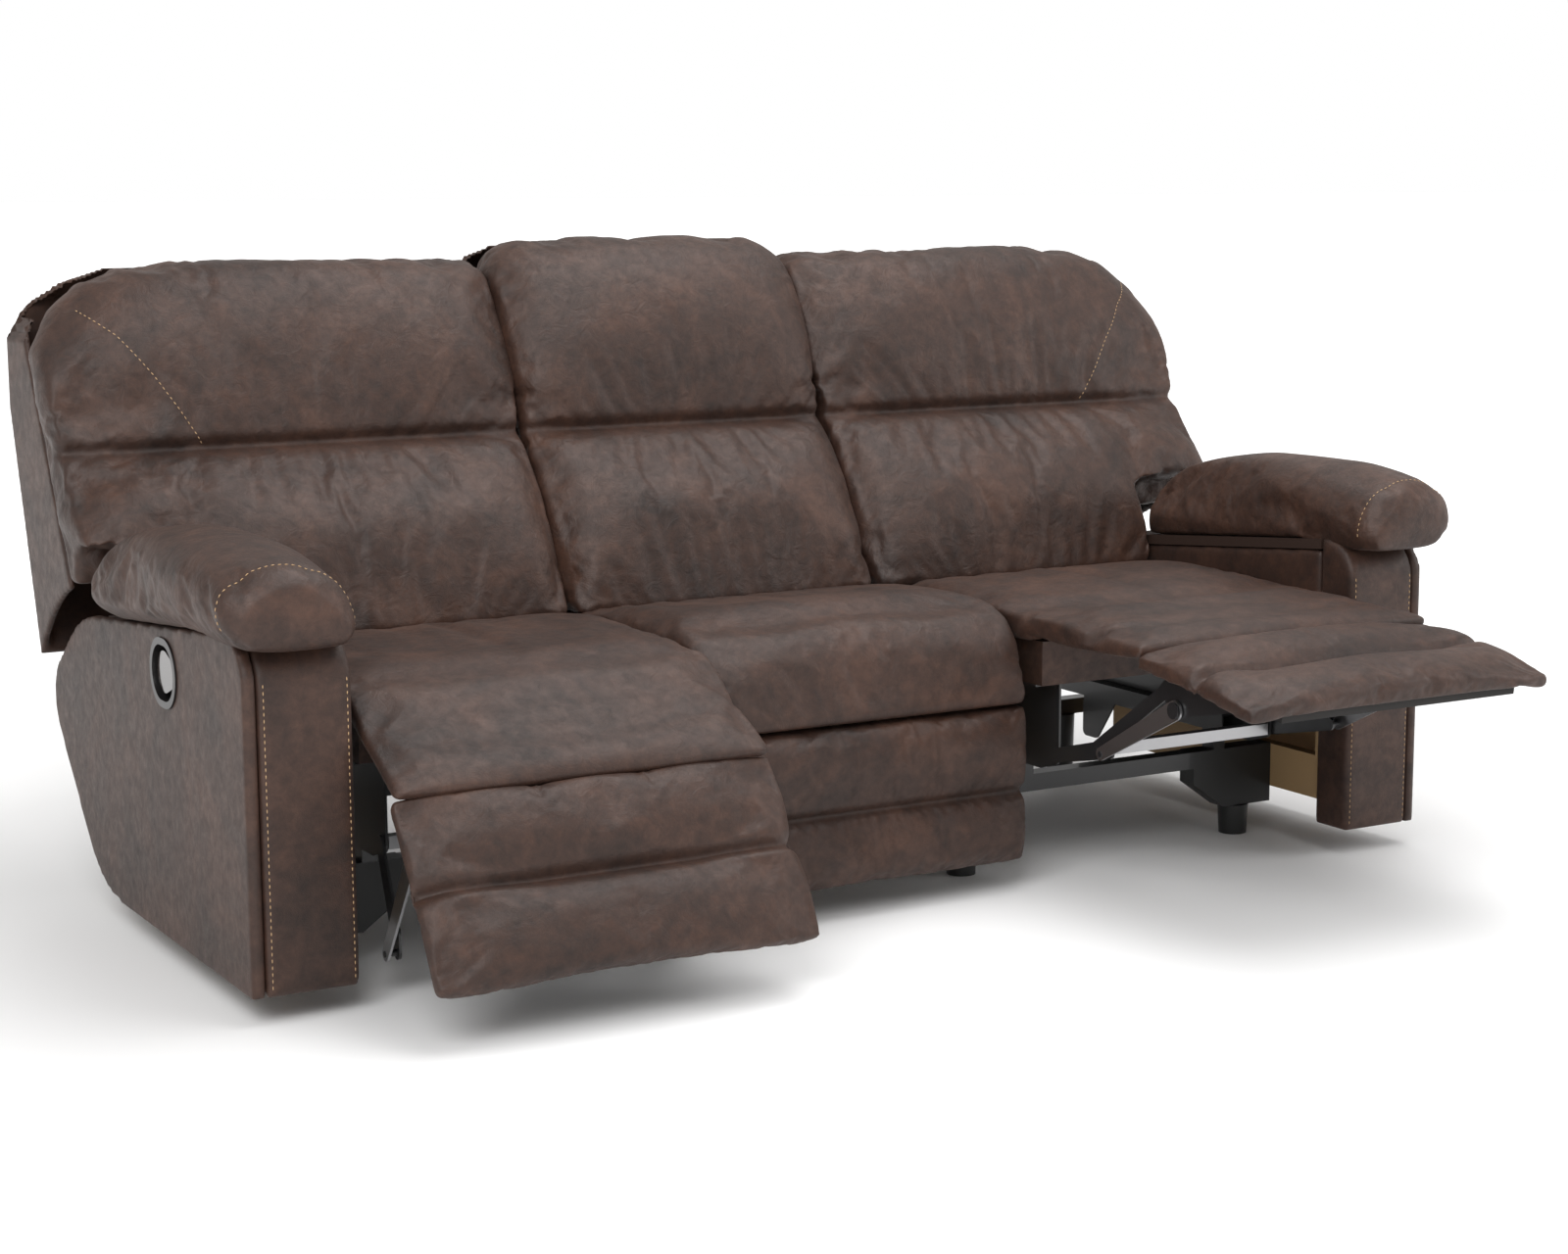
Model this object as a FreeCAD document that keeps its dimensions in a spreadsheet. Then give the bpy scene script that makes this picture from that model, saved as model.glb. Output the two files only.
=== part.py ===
import FreeCAD, Part
import math
import os

import Sketcher
from FreeCAD import Placement, Rotation, Vector

# Three-seat reclining sofa. X runs along the sofa, +Y towards its back, +Z up, origin on the floor
# under the middle of the bounding box. Depths are measured from the front plane of the arms.

doc = FreeCAD.newDocument("ReclinerSofa")
sheet = doc.addObject("Spreadsheet::Sheet", "Sizes")
row = 0


class Size:
    """A length or angle that carries its sheet expression and its present value."""

    def __init__(self, text, value):
        self.text = text
        self.value = float(value)

    def joined(self, sign, other, value):
        return Size("(%s %s %s)" % (self.text, sign, size(other).text), value)

    def __add__(self, other):
        return self.joined("+", other, self.value + size(other).value)

    def __sub__(self, other):
        return self.joined("-", other, self.value - size(other).value)

    def __mul__(self, other):
        return self.joined("*", other, self.value * size(other).value)

    def __truediv__(self, other):
        return self.joined("/", other, self.value / size(other).value)

    def __radd__(self, other):
        return size(other) + self

    def __rsub__(self, other):
        return size(other) - self

    def __rmul__(self, other):
        return size(other) * self

    def __neg__(self):
        return size(0) - self


def size(amount):
    if isinstance(amount, Size):
        return amount
    return Size(repr(float(amount)), amount)


def cosine(angle):
    return Size("cos(%s * 1deg)" % size(angle).text, math.cos(math.radians(size(angle).value)))


def sine(angle):
    return Size("sin(%s * 1deg)" % size(angle).text, math.sin(math.radians(size(angle).value)))


def cell(name, value, note):
    """Writes one driving dimension into the sheet and returns it."""
    global row
    row += 1
    sheet.set("A%d" % row, name)
    sheet.set("B%d" % row, repr(value))
    sheet.setAlias("B%d" % row, name)
    sheet.set("C%d" % row, note)
    return Size("Sizes.%s" % name, value)


# Overall layout
front_plane = cell("front_plane", -305.4, "Y of the arms' front plane from the origin")
sofa_width = cell("sofa_width", 2160.0, "over the arms' outer panels")
floor_gap = cell("floor_gap", 42.0, "floor to the bottom edge of the arms")
seat_pitch = cell("seat_pitch", 605.0, "centre seat to recliner seat, middle to middle")
seat_width = cell("seat_width", 592.0, "one seat cushion, side to side")
running_gap = cell("running_gap", 0.5, "clearance of what slides or meets")
bench_width = cell("bench_width", 592.0, "fixed middle seat and back")

# Arms
arm_width = cell("arm_width", 161.0, "front panel, side to side")
arm_top = cell("arm_top", 560.0, "height of the arm's top line at the front plane")
arm_foot_depth = cell("arm_foot_depth", 734.0, "where the bottom edge turns up")
arm_rear_height = cell("arm_rear_height", 339.0, "height of that corner")
arm_shoulder_depth = cell("arm_shoulder_depth", 797.0, "corner of the rear shoulder")
arm_rear_reach = cell("arm_rear_reach", 213.0, "corner of the rear sweep behind the shoulder's")
arm_rear_depth = arm_shoulder_depth + arm_rear_reach
arm_shoulder_height = cell("arm_shoulder_height", 487.0, "height of that corner")
arm_nose_round = cell("arm_nose_round", 72.0, "round of the front top nose")
arm_foot_round = cell("arm_foot_round", 220.0, "round under the rear")
arm_rear_round = cell("arm_rear_round", 80.0, "round at the rearmost point")
arm_shoulder_round = cell("arm_shoulder_round", 300.0, "round of the rear shoulder")
outer_skin = cell("outer_skin", 20.0, "padded outer side panel")
inner_skin = cell("inner_skin", 15.0, "padded inner side panel")
front_skin = cell("front_skin", 84.0, "depth of the padded front post")
frame_board = cell("frame_board", 18.0, "plywood of the arm frames")
inner_panel_low = cell("inner_panel_low", 235.0, "bottom of the inner side panel")
pine_low = cell("pine_low", 82.0, "bottom of the pine rail inside the arm")
pine_high = cell("pine_high", 160.0, "top of the pine rail inside the arm")
pine_width = cell("pine_width", 25.0, "width of the pine rail")
arm_frame_length = cell("arm_frame_length", 616.0, "arm frame, front to rear")

# Arm pads
pad_front = cell("pad_front", -40.0, "front face of the arm pad")
pad_rear = cell("pad_rear", 588.0, "rear end of the arm pad")
pad_rise = cell("pad_rise", 135.0, "arm pad above the arm's top line")
pad_overhang = cell("pad_overhang", 58.0, "arm pad beyond the outer panel")

# Release handle
cup_depth_place = cell("cup_depth_place", 355.0, "handle cup behind the front plane")
cup_height = cell("cup_height", 457.0, "handle cup above the floor")
cup_half_length = cell("cup_half_length", 8.0, "half the straight run of the cup's oval")
cup_round = cell("cup_round", 45.0, "end radius of the cup's oval rim")
cup_wall = cell("cup_wall", 3.0, "wall of the cup")
cup_rim = cell("cup_rim", 8.0, "width of the rim round the cup")
cup_sunk = cell("cup_sunk", 30.0, "depth of the cup")
paddle_thick = cell("paddle_thick", 6.0, "release paddle")

# Seats
seat_top = cell("seat_top", 482.0, "seat crown above the floor")
seat_under = cell("seat_under", 417.0, "underside of the seat cushions")
seat_box_low = cell("seat_box_low", 342.0, "underside of the seat boxes")
seat_front = cell("seat_front", 100.0, "front of the recliner seat boxes")
seat_rear = cell("seat_rear", 640.0, "rear of the seat boxes")
cushion_rear = cell("cushion_rear", 600.0, "rear of the seat cushions")
box_board = cell("box_board", 22.0, "boards of the seat boxes")
web_thick = cell("web_thick", 3.0, "webbing under the seat cushions")
web_width = cell("web_width", 50.0, "one web")
crown = cell("crown", 16.0, "how far a seat cushion swells")

# Fixed middle front
bench_front = cell("bench_front", 86.0, "front of the middle section's frame")
nose_depth = cell("nose_depth", 46.0, "depth of the front rolls and of the nose above them")
roll_seam = cell("roll_seam", 171.0, "height of the seam between the two front rolls")
roll_top = cell("roll_top", 314.0, "height of the seam under the seat nose")
roll_bottom = cell("roll_bottom", 48.5, "bottom of the front rolls")
roll_swell = cell("roll_swell", 15.0, "how far each roll swells")

# Backs
back_low = cell("back_low", 470.0, "bottom of the back cushions")
back_foot = cell("back_foot", 552.0, "front of the back cushions at the bottom")
back_seam_depth = cell("back_seam_depth", 743.0, "front of the backs at the cross seam")
back_seam_height = cell("back_seam_height", 752.0, "height of the cross seam")
back_top_depth = cell("back_top_depth", 884.0, "front of the backs at the top")
back_top = cell("back_top", 1030.0, "top edge of the outer backs' front")
middle_rise = cell("middle_rise", 27.0, "middle back above the outer ones")
back_thick = cell("back_thick", 118.0, "back cushions, front to rear, at the top")
back_foot_thick = cell("back_foot_thick", 140.0, "back cushions at the bottom")
back_swell = cell("back_swell", 30.0, "how far the back rolls swell")
shell_foot = cell("shell_foot", 940.0, "outside back at the bottom")
shell_waist = cell("shell_waist", 1098.0, "outside back at its rearmost line")
shell_waist_height = cell("shell_waist_height", 800.0, "height of that line")
shell_low = cell("shell_low", 300.0, "bottom of the outside back")
shell_board = cell("shell_board", 12.0, "outside back panel")
stile = cell("stile", 36.0, "posts of the back frames")
wing_reach = cell("wing_reach", 1112.0, "outer end of the outer backs from the middle")
shoulder_round = cell("shoulder_round", 130.0, "round of the outer backs' outer shoulders")
wing_sweep = cell("wing_sweep", 424.0, "radius of the wings' underside about the back hinge")
sweep_wide = cell("sweep_wide", 400.0, "width cleared under the wings for the sweep over the arms")

# Recliner mechanism
hinge_depth = cell("hinge_depth", 640.0, "back hinge behind the front plane")
hinge_height = cell("hinge_height", 130.0, "back hinge above the floor")
lift_depth = cell("lift_depth", 118.0, "rear link pivot behind the front plane")
lift_height = cell("lift_height", 217.0, "rear link pivot above the floor")
rear_link = cell("rear_link", 135.0, "rear link, pivot to knee")
front_link = cell("front_link", 229.0, "front link, knee to footrest")
rear_closed = cell("rear_closed", 301.0, "rear link's angle with the footrest shut")
rear_open = cell("rear_open", 165.0, "rear link's angle with the footrest out")
front_closed = cell("front_closed", 105.0, "front link's angle with the footrest shut")
front_open = cell("front_open", 145.5, "front link's angle with the footrest out")
rest_turn = cell("rest_turn", 81.5, "how far the footrest turns up")
left_share = cell("left_share", 0.406, "how far the left footrest is out")
right_share = cell("right_share", 1.0, "how far the right footrest is out")
horn_along = cell("horn_along", 28.2, "control pin of the rear link, along it beyond the knee")
horn_across = cell("horn_across", 9.4, "control pin of the rear link, across it")
rest_pivot_down = cell("rest_pivot_down", 11.0, "footrest pivot below its top edge")
rest_pivot_back = cell("rest_pivot_back", 57.0, "footrest pivot behind the middle of its thickness")
rest_horn_down = cell("rest_horn_down", 47.0, "footrest control pin below its top edge")
rest_horn_back = cell("rest_horn_back", 80.1, "footrest control pin behind the middle of its thickness")
link_plate = cell("link_plate", 4.0, "thickness of the links")
link_gap = cell("link_gap", 2.0, "gap between neighbouring link planes")
boss = cell("boss", 12.0, "radius of the link ends")
pin = cell("pin", 5.0, "radius of the pivot pins")
hinge_pin = cell("hinge_pin", 7.0, "radius of the back hinge pins")
open_pin = cell("open_pin", 4.0, "radius of the footrest control pin")
washer = cell("washer", 13.5, "radius of the washer on that pin")
washer_thick = cell("washer_thick", 1.5, "thickness of that washer")
seat_box_half = cell("seat_box_half", 270.0, "half the width of the recliner seat boxes")
pin_play = cell("pin_play", 0.1, "running clearance round a pivot pin")
open_play = cell("open_play", 8.4, "clearance round the open pivot")
plate_place = cell("plate_place", 226.0, "side plate from the middle of its seat")
tube_side = cell("tube_side", 20.0, "square drive tube")

# Footrest
rest_length = cell("rest_length", 288.0, "footrest, top edge to bottom edge")
rest_width = cell("rest_width", 600.0, "footrest pad, side to side")
rest_swell = cell("rest_swell", 13.0, "how far each footrest roll swells")
rest_front = cell("rest_front", 14.0, "seam line of the pad in front of that middle")
rest_back = cell("rest_back", 14.0, "back of the pad behind that middle")
rest_board = cell("rest_board", 14.0, "footrest board")
board_half = cell("board_half", 236.0, "half the width of the footrest board")
flap_length = cell("flap_length", 128.0, "front strip of the flap")
flap_drop = cell("flap_drop", 4.0, "flap's underside below the middle of the footrest's thickness")
flap_thick = cell("flap_thick", 27.0, "flap at its front edge")

# Base
rail_front = cell("rail_front", 224.0, "front cross rail behind the front plane")
rail_depth = cell("rail_depth", 34.0, "cross rails, front to rear")
rail_low = cell("rail_low", 132.0, "underside of the cross rails")
rail_high = cell("rail_high", 162.0, "top of the cross rails")
block_inner = cell("block_inner", 758.0, "inner side of the front corner blocks")
block_width = cell("block_width", 176.0, "front corner blocks, side to side")
block_depth = cell("block_depth", 40.0, "front corner blocks, front to rear")
foot_radius = cell("foot_radius", 28.0, "radius of the feet at the top")
foot_taper = cell("foot_taper", 3.0, "how much narrower the feet are at the floor")
foot_height = cell("foot_height", 54.0, "height of the feet")
foot_place = cell("foot_place", 865.0, "outer feet from the middle")
track_place = cell("track_place", 198.0, "inner side of a slide track from its seat's middle")
track_width = cell("track_width", 24.0, "width of a slide track")
track_low = cell("track_low", 200.0, "underside of a slide track")
track_high = cell("track_high", 230.0, "top of a slide track")
track_wall = cell("track_wall", 3.0, "steel of a slide track")
track_front = cell("track_front", 204.0, "front end of a slide track")
track_rear = cell("track_rear", 810.0, "rear end of a slide track")
rail_inset = cell("rail_inset", 45.0, "front face of the rear cross rail ahead of the tracks' rear ends")
rail_rear = track_rear - rail_inset
roller_inset = cell("roller_inset", 80.0, "front slide rollers behind the tracks' front ends")
roller_lead = cell("roller_lead", 20.0, "rear slide rollers ahead of the back hinge")


# The ways in which pieces are made

def depth(back):
    return front_plane + back


def bind(thing, name, amount):
    thing.setExpression(name, size(amount).text)


def node(thing, name):
    thing.Label = name
    nodes.append(thing)
    return thing


nodes = []
made = 0


def fresh(kind, word):
    global made
    made += 1
    return doc.addObject(kind, "%s%d" % (word, made))


def origin_plane(body, role):
    return [f for f in body.Origin.OriginFeatures if f.Role == role][0]


def new_sketch(body, role, offset):
    """A sketch on one of the body's own planes, offset along that plane's normal."""
    sketch = body.newObject("Sketcher::SketchObject", "Outline")
    sketch.AttachmentSupport = [(origin_plane(body, role), "")]
    sketch.MapMode = "FlatFace"
    bind(sketch, "AttachmentOffset.Base.z", offset)
    return sketch


def hold(sketch, kind, first, place, amount):
    """Ties one point of a sketch to the axes."""
    number = sketch.addConstraint(Sketcher.Constraint(kind, -1, 1, first, place, size(amount).value))
    sketch.setExpression("Constraints[%d]" % number, size(amount).text)


def polygon(sketch, corners):
    count = len(corners)
    spots = [Vector(size(a).value, size(b).value, 0) for a, b in corners]
    first = sketch.GeometryCount
    for i in range(count):
        sketch.addGeometry(Part.LineSegment(spots[i], spots[(i + 1) % count]), False)
    for i in range(count):
        after = first + (i + 1) % count
        sketch.addConstraint(Sketcher.Constraint("Coincident", first + i, 2, after, 1))
        hold(sketch, "DistanceX", first + i, 1, corners[i][0])
        hold(sketch, "DistanceY", first + i, 1, corners[i][1])


def circle(sketch, centre, radius):
    number = sketch.addGeometry(
        Part.Circle(Vector(size(centre[0]).value, size(centre[1]).value, 0), Vector(0, 0, 1),
                    size(radius).value), False)
    hold(sketch, "DistanceX", number, 3, centre[0])
    hold(sketch, "DistanceY", number, 3, centre[1])
    limit = sketch.addConstraint(Sketcher.Constraint("Radius", number, size(radius).value))
    sketch.setExpression("Constraints[%d]" % limit, size(radius).text)


def pad(body, sketch, length):
    feature = body.newObject("PartDesign::Pad", "Pad")
    feature.Profile = sketch
    bind(feature, "Length", length)
    feature.Refine = True
    doc.recompute()
    return feature


def pocket(body, sketch, length, reverse=False):
    before = body.Shape.Volume
    feature = body.newObject("PartDesign::Pocket", "Pocket")
    feature.Profile = sketch
    feature.Reversed = reverse
    bind(feature, "Length", length)
    doc.recompute()
    if body.Shape.Volume > before - 1:
        raise RuntimeError("a pocket of %s cut nothing" % body.Label)
    return feature


def round_corners(body, corners, axis):
    """Rounds the edges that run along the axis through the given corners: (first, second, radius)."""
    for first, second, radius in corners:
        base = body.Tip
        names = []
        for i, edge in enumerate(base.Shape.Edges):
            ends = [v.Point for v in edge.Vertexes]
            flat = [[p.y, p.z] if axis == "X" else [p.x, p.z] if axis == "Y" else [p.x, p.y] for p in ends]
            near = [math.hypot(f[0] - size(first).value, f[1] - size(second).value) < 0.05 for f in flat]
            if len(ends) == 2 and all(near):
                names.append("Edge%d" % (i + 1))
        feature = body.newObject("PartDesign::Fillet", "Round")
        feature.Base = (base, names)
        bind(feature, "Radius", radius)
        doc.recompute()


def slab_along_x(name, corners, near, thick, rounds=(), keep=True):
    """A plate whose outline stands in the depth-height plane, from X near over its thickness."""
    body = fresh("PartDesign::Body", "Slab")
    sketch = new_sketch(body, "YZ_Plane", near)
    polygon(sketch, corners)
    pad(body, sketch, thick)
    round_corners(body, [(corners[i][0], corners[i][1], r) for i, r in rounds], "X")
    if keep:
        node(body, name)
    else:
        body.Label = name
    return body


def box(near, front, low, wide, deep, tall):
    thing = fresh("Part::Box", "Board")
    bind(thing, "Placement.Base.x", near)
    bind(thing, "Placement.Base.y", front)
    bind(thing, "Placement.Base.z", low)
    bind(thing, "Length", wide)
    bind(thing, "Width", deep)
    bind(thing, "Height", tall)
    return thing


def fused(name, things):
    thing = fresh("Part::MultiFuse", "Joined")
    thing.Shapes = things
    thing.Refine = True
    return node(thing, name)


def group(name, things):
    thing = fresh("Part::Compound", "Group")
    thing.Links = things
    return node(thing, name)


def mirrored(thing, middle):
    copy = fresh("Part::Mirroring", "Mirror")
    copy.Source = thing
    copy.Normal = Vector(1, 0, 0)
    bind(copy, "Base.x", middle)
    return copy


def start_of(side, near, wide):
    """Lowest X of a piece that lies from near outwards on one side of the sofa."""
    if side > 0:
        return size(near)
    return -(size(near) + wide)


def tangent_points(first, first_radius, second, second_radius):
    """Ends of the outer tangent on the right-hand side of the way from the first circle to the second."""
    way = second - first
    reach = math.hypot(way.x, way.y)
    turn = math.atan2(way.y, way.x) - math.acos((first_radius - second_radius) / reach)
    out = Vector(math.cos(turn), math.sin(turn), 0)
    return first + out * first_radius, second + out * second_radius


def hull(sketch, knobs):
    """Outline round several bosses, given anticlockwise as (place, place, radius)."""
    count = len(knobs)
    centres = [Vector(size(k[0]).value, size(k[1]).value, 0) for k in knobs]
    radii = [size(k[2]).value for k in knobs]
    sides = [tangent_points(centres[i], radii[i], centres[(i + 1) % count], radii[(i + 1) % count])
             for i in range(count)]
    first = sketch.GeometryCount
    for i in range(count):
        sketch.addGeometry(Part.LineSegment(sides[i][0], sides[i][1]), False)
    for i in range(count):
        begin = sides[i - 1][1] - centres[i]
        end = sides[i][0] - centres[i]
        low = math.atan2(begin.y, begin.x)
        high = math.atan2(end.y, end.x)
        high += 2 * math.pi * (high < low)
        ring = Part.Circle(centres[i], Vector(0, 0, 1), radii[i])
        sketch.addGeometry(Part.ArcOfCircle(ring, low, high), False)
    for i in range(count):
        arc = first + count + i
        sketch.addConstraint(Sketcher.Constraint("Tangent", first + (i - 1) % count, 2, arc, 1))
        sketch.addConstraint(Sketcher.Constraint("Tangent", arc, 2, first + i, 1))
        hold(sketch, "DistanceX", arc, 3, knobs[i][0])
        hold(sketch, "DistanceY", arc, 3, knobs[i][1])
        limit = sketch.addConstraint(Sketcher.Constraint("Radius", arc, radii[i]))
        sketch.setExpression("Constraints[%d]" % limit, size(knobs[i][2]).text)


def ended(start, length, angle):
    """The point at the end of a link."""
    return (start[0] + length * cosine(angle), start[1] + length * sine(angle))


def offset_point(start, along, across, angle):
    """A point given along and across a link."""
    return (start[0] + along * cosine(angle) - across * sine(angle),
            start[1] + along * sine(angle) + across * cosine(angle))


def arc_or_line(first, second, swell, axis):
    """An edge between two points that swells to the left of its way by the given amount."""
    if abs(swell) < 1e-6:
        return Part.LineSegment(first, second).toShape()
    way = second - first
    normal = way.cross(axis)
    normal.normalize()
    middle = (first + second) * 0.5 + normal * swell
    return Part.Arc(first, middle, second).toShape()


def ring_wire(corners, swells, axis):
    """A closed section whose edges swell outwards; the corners run anticlockwise about the axis."""
    count = len(corners)
    return Part.Wire([arc_or_line(corners[i], corners[(i + 1) % count], swells[i], axis)
                      for i in range(count)])


def section_yz(x, corners, swells):
    """A closed section across the sofa's length. Its corners run clockwise seen along +X."""
    return ring_wire([Vector(x, a, b) for a, b in corners], swells, Vector(-1, 0, 0))


def set_shape(name, shape):
    thing = fresh("Part::Feature", "Soft")
    thing.Shape = shape
    return node(thing, name)


def value(amount):
    return size(amount).value


# Planes of the mechanism, from the side plates outwards

step = link_plate + link_gap
rear_plane = plate_place + step
front_plane_place = plate_place + step * 2
bracket_plane = plate_place + step * 3
control_plane = plate_place + step * 4


# Arms: a plywood side frame with a pine rail, an outer, an inner and a front upholstered panel

half_width = sofa_width / 2
arm_inner = half_width - arm_width
arm_outline = [
    (depth(0), floor_gap),
    (depth(arm_foot_depth), floor_gap),
    (depth(arm_rear_depth), arm_rear_height),
    (depth(arm_shoulder_depth), arm_shoulder_height),
    (depth(0), arm_top),
]
arm_rounds = [(1, arm_foot_round), (2, arm_rear_round), (3, arm_shoulder_round), (4, arm_nose_round)]
arm_slope = (arm_top - arm_shoulder_height) / arm_shoulder_depth


def arm_line(back):
    """Height of the arm's top line at a depth behind the front plane."""
    return arm_top - arm_slope * back


def oval(sketch, radius):
    hull(sketch, [(depth(cup_depth_place - cup_half_length), cup_height, radius),
                  (depth(cup_depth_place + cup_half_length), cup_height, radius)])


for side, word in ((-1, "left"), (1, "right")):
    panel = slab_along_x(word + "_arm_outer_panel", arm_outline,
                         start_of(side, half_width - outer_skin, outer_skin), outer_skin, arm_rounds)
    hole = new_sketch(panel, "YZ_Plane", start_of(side, half_width - outer_skin, outer_skin))
    oval(hole, cup_round + running_gap)
    pocket(panel, hole, outer_skin, True)

    # The front post's panel lies between the outer panel and the seat, under the same nose
    face_width = arm_width - outer_skin
    slab_along_x(word + "_arm_front_panel",
                 [(depth(0), floor_gap), (depth(front_skin), floor_gap),
                  (depth(front_skin), arm_line(front_skin)), (depth(0), arm_top)],
                 start_of(side, arm_inner, face_width), face_width, [(3, arm_nose_round)])

    slab_along_x(word + "_arm_inner_panel",
                 [(depth(front_skin), inner_panel_low), (depth(front_skin + arm_frame_length), inner_panel_low),
                  (depth(front_skin + arm_frame_length), arm_line(front_skin + arm_frame_length) - frame_board),
                  (depth(front_skin), arm_line(front_skin) - frame_board)],
                 start_of(side, arm_inner, inner_skin), inner_skin, [(2, frame_board)])

    board_near = half_width - outer_skin - frame_board
    deck_width = board_near - arm_inner
    upright = slab_along_x(word + "_arm_ply",
                           [(depth(front_skin), pine_low),
                            (depth(front_skin + arm_frame_length), pine_low),
                            (depth(front_skin + arm_frame_length), arm_line(front_skin + arm_frame_length)),
                            (depth(front_skin), arm_line(front_skin))],
                           start_of(side, board_near, frame_board), frame_board, [], False)
    window = new_sketch(upright, "YZ_Plane", start_of(side, board_near, frame_board))
    bay = arm_frame_length / 3
    for number in range(3):
        left_edge = front_skin + bay * number + frame_board * 1.5
        right_edge = front_skin + bay * (number + 1) - frame_board * 1.5
        polygon(window, [(depth(left_edge), pine_high + frame_board),
                         (depth(right_edge), pine_high + frame_board),
                         (depth(right_edge), cup_height - cup_round - cup_rim - frame_board),
                         (depth(left_edge), cup_height - cup_round - cup_rim - frame_board)])
    pocket(upright, window, frame_board, True)
    cup_hole = new_sketch(upright, "YZ_Plane", start_of(side, board_near, frame_board))
    oval(cup_hole, cup_round + cup_wall)
    pocket(upright, cup_hole, frame_board, True)
    deck = slab_along_x(word + "_arm_deck",
                        [(depth(front_skin), arm_line(front_skin) - frame_board),
                         (depth(front_skin + arm_frame_length),
                          arm_line(front_skin + arm_frame_length) - frame_board),
                         (depth(front_skin + arm_frame_length), arm_line(front_skin + arm_frame_length)),
                         (depth(front_skin), arm_line(front_skin))],
                        start_of(side, arm_inner, deck_width), deck_width, [], False)
    pine = box(start_of(side, arm_inner + inner_skin, pine_width), depth(front_skin), pine_low,
               pine_width, arm_frame_length, pine_high - pine_low)
    rib_width = board_near - arm_inner - inner_skin
    ribs = [box(start_of(side, arm_inner + inner_skin, rib_width), depth(front_skin + place), pine_low,
                rib_width, frame_board, arm_line(front_skin + place) - frame_board - pine_low)
            for place in (size(0), arm_frame_length - frame_board)]
    fused(word + "_arm_frame", [upright, deck, pine] + ribs)


# Arm pads: a pillow that lies along the arm and hangs over its outer side

for side, word in ((-1, "left"), (1, "right")):
    stations = ((0.0, 0.60, 0.72), (0.045, 0.83, 0.92), (0.28, 1.01, 1.0), (0.62, 1.07, 1.0),
                (0.93, 0.98, 0.98), (1.0, 0.82, 0.90))
    sections = []
    for along, tall, broad in stations:
        back = value(pad_front) + along * (value(pad_rear) - value(pad_front))
        under = value(arm_line(size(max(back, 0.0)))) + value(running_gap)
        over = under + tall * value(pad_rise)
        middle = value(half_width) - value(arm_width) / 2
        inner = middle - broad * (middle - value(arm_inner)) + 2
        outer = middle + broad * (value(half_width) - middle) - 2
        hang = broad * value(pad_overhang)
        corners = [(inner, under), (outer, under), (outer + hang * 0.78, under + 0.22 * (over - under)),
                   (outer + hang * 0.70, under + 0.72 * (over - under)),
                   (inner + 26, under + 0.78 * (over - under)), (inner - 8, under + 0.25 * (over - under))]
        swells = (0.0, 2.0, 12.0, value(pad_rise) * 0.2, 7.0, 2.0)
        y = value(front_plane) + back
        sections.append(ring_wire([Vector(side * a, y, b) for a, b in corners], swells,
                                  Vector(0, -side, 0)))
    set_shape(word + "_arm_pad", Part.makeLoft(sections, True, True))


# Release handles: an oval cup let into the outer panel, and a paddle that pulls out about its front pin

for side, word in ((-1, "left"), (1, "right")):
    cup = fresh("PartDesign::Body", "Cup")
    rim_sketch = new_sketch(cup, "YZ_Plane", start_of(side, half_width, cup_wall))
    oval(rim_sketch, cup_round + cup_rim)
    pad(cup, rim_sketch, cup_wall)
    well = new_sketch(cup, "YZ_Plane", start_of(side, half_width - cup_sunk, cup_sunk))
    oval(well, cup_round)
    pad(cup, well, cup_sunk)
    hollow = new_sketch(cup, "YZ_Plane", start_of(side, half_width - cup_sunk + cup_wall, cup_sunk))
    oval(hollow, cup_round - cup_wall)
    pocket(cup, hollow, cup_sunk, True)
    node(cup, word + "_handle_cup")

    # The pin stands in the cup's front end; the paddle fills the rear two thirds of the hollow
    swing = fresh("PartDesign::Body", "Paddle")
    reach = cup_round - cup_wall * 2
    pin_place = cup_depth_place - cup_half_length - reach * 0.5
    blade = new_sketch(swing, "YZ_Plane", start_of(side, half_width - paddle_thick * 1.5, paddle_thick))
    hull(blade, [(depth(pin_place), cup_height, reach * 0.5),
                 (depth(cup_depth_place + cup_half_length), cup_height, reach * 0.82)])
    pad(swing, blade, paddle_thick)
    node(swing, word + "_handle_paddle")


# Soft forms

def seat_section(x, share, front):
    """Section of a recliner seat cushion; share runs from 0 at its sides to 1 in the middle."""
    draw = (1 - share) * 7.0
    top = value(seat_top) - draw
    corners = [(value(depth(cushion_rear)), value(seat_under)), (front + draw, value(seat_under)),
               (front + draw, top - 16), (value(depth(cushion_rear)), top - 34)]
    swells = (0.0, 3.0, value(crown) * (0.6 + 0.4 * share), 1.0)
    return section_yz(x, corners, swells)


def across(middle, wide, shares):
    """X places from one side of a cushion to the other, with the share of its swell at each."""
    return [(value(middle) + place * value(wide) / 2, share) for place, share in shares]


cushion_stations = ((-1.0, 0.0), (-0.95, 0.52), (-0.74, 0.86), (0.0, 1.0), (0.74, 0.86), (0.95, 0.52),
                    (1.0, 0.0))
web_count = 5


def webbing(name, middle, front):
    """Elastic webs that run from the front board to the rear board of a seat box."""
    bands = []
    for number in range(web_count):
        spot = middle + (number - (web_count - 1) / 2) * (seat_width / (web_count + 0.5))
        bands.append(box(spot - web_width / 2, front + box_board, seat_under - web_thick - running_gap,
                         web_width, depth(seat_rear) - front - box_board * 2, web_thick))
    return group(name, bands)


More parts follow.
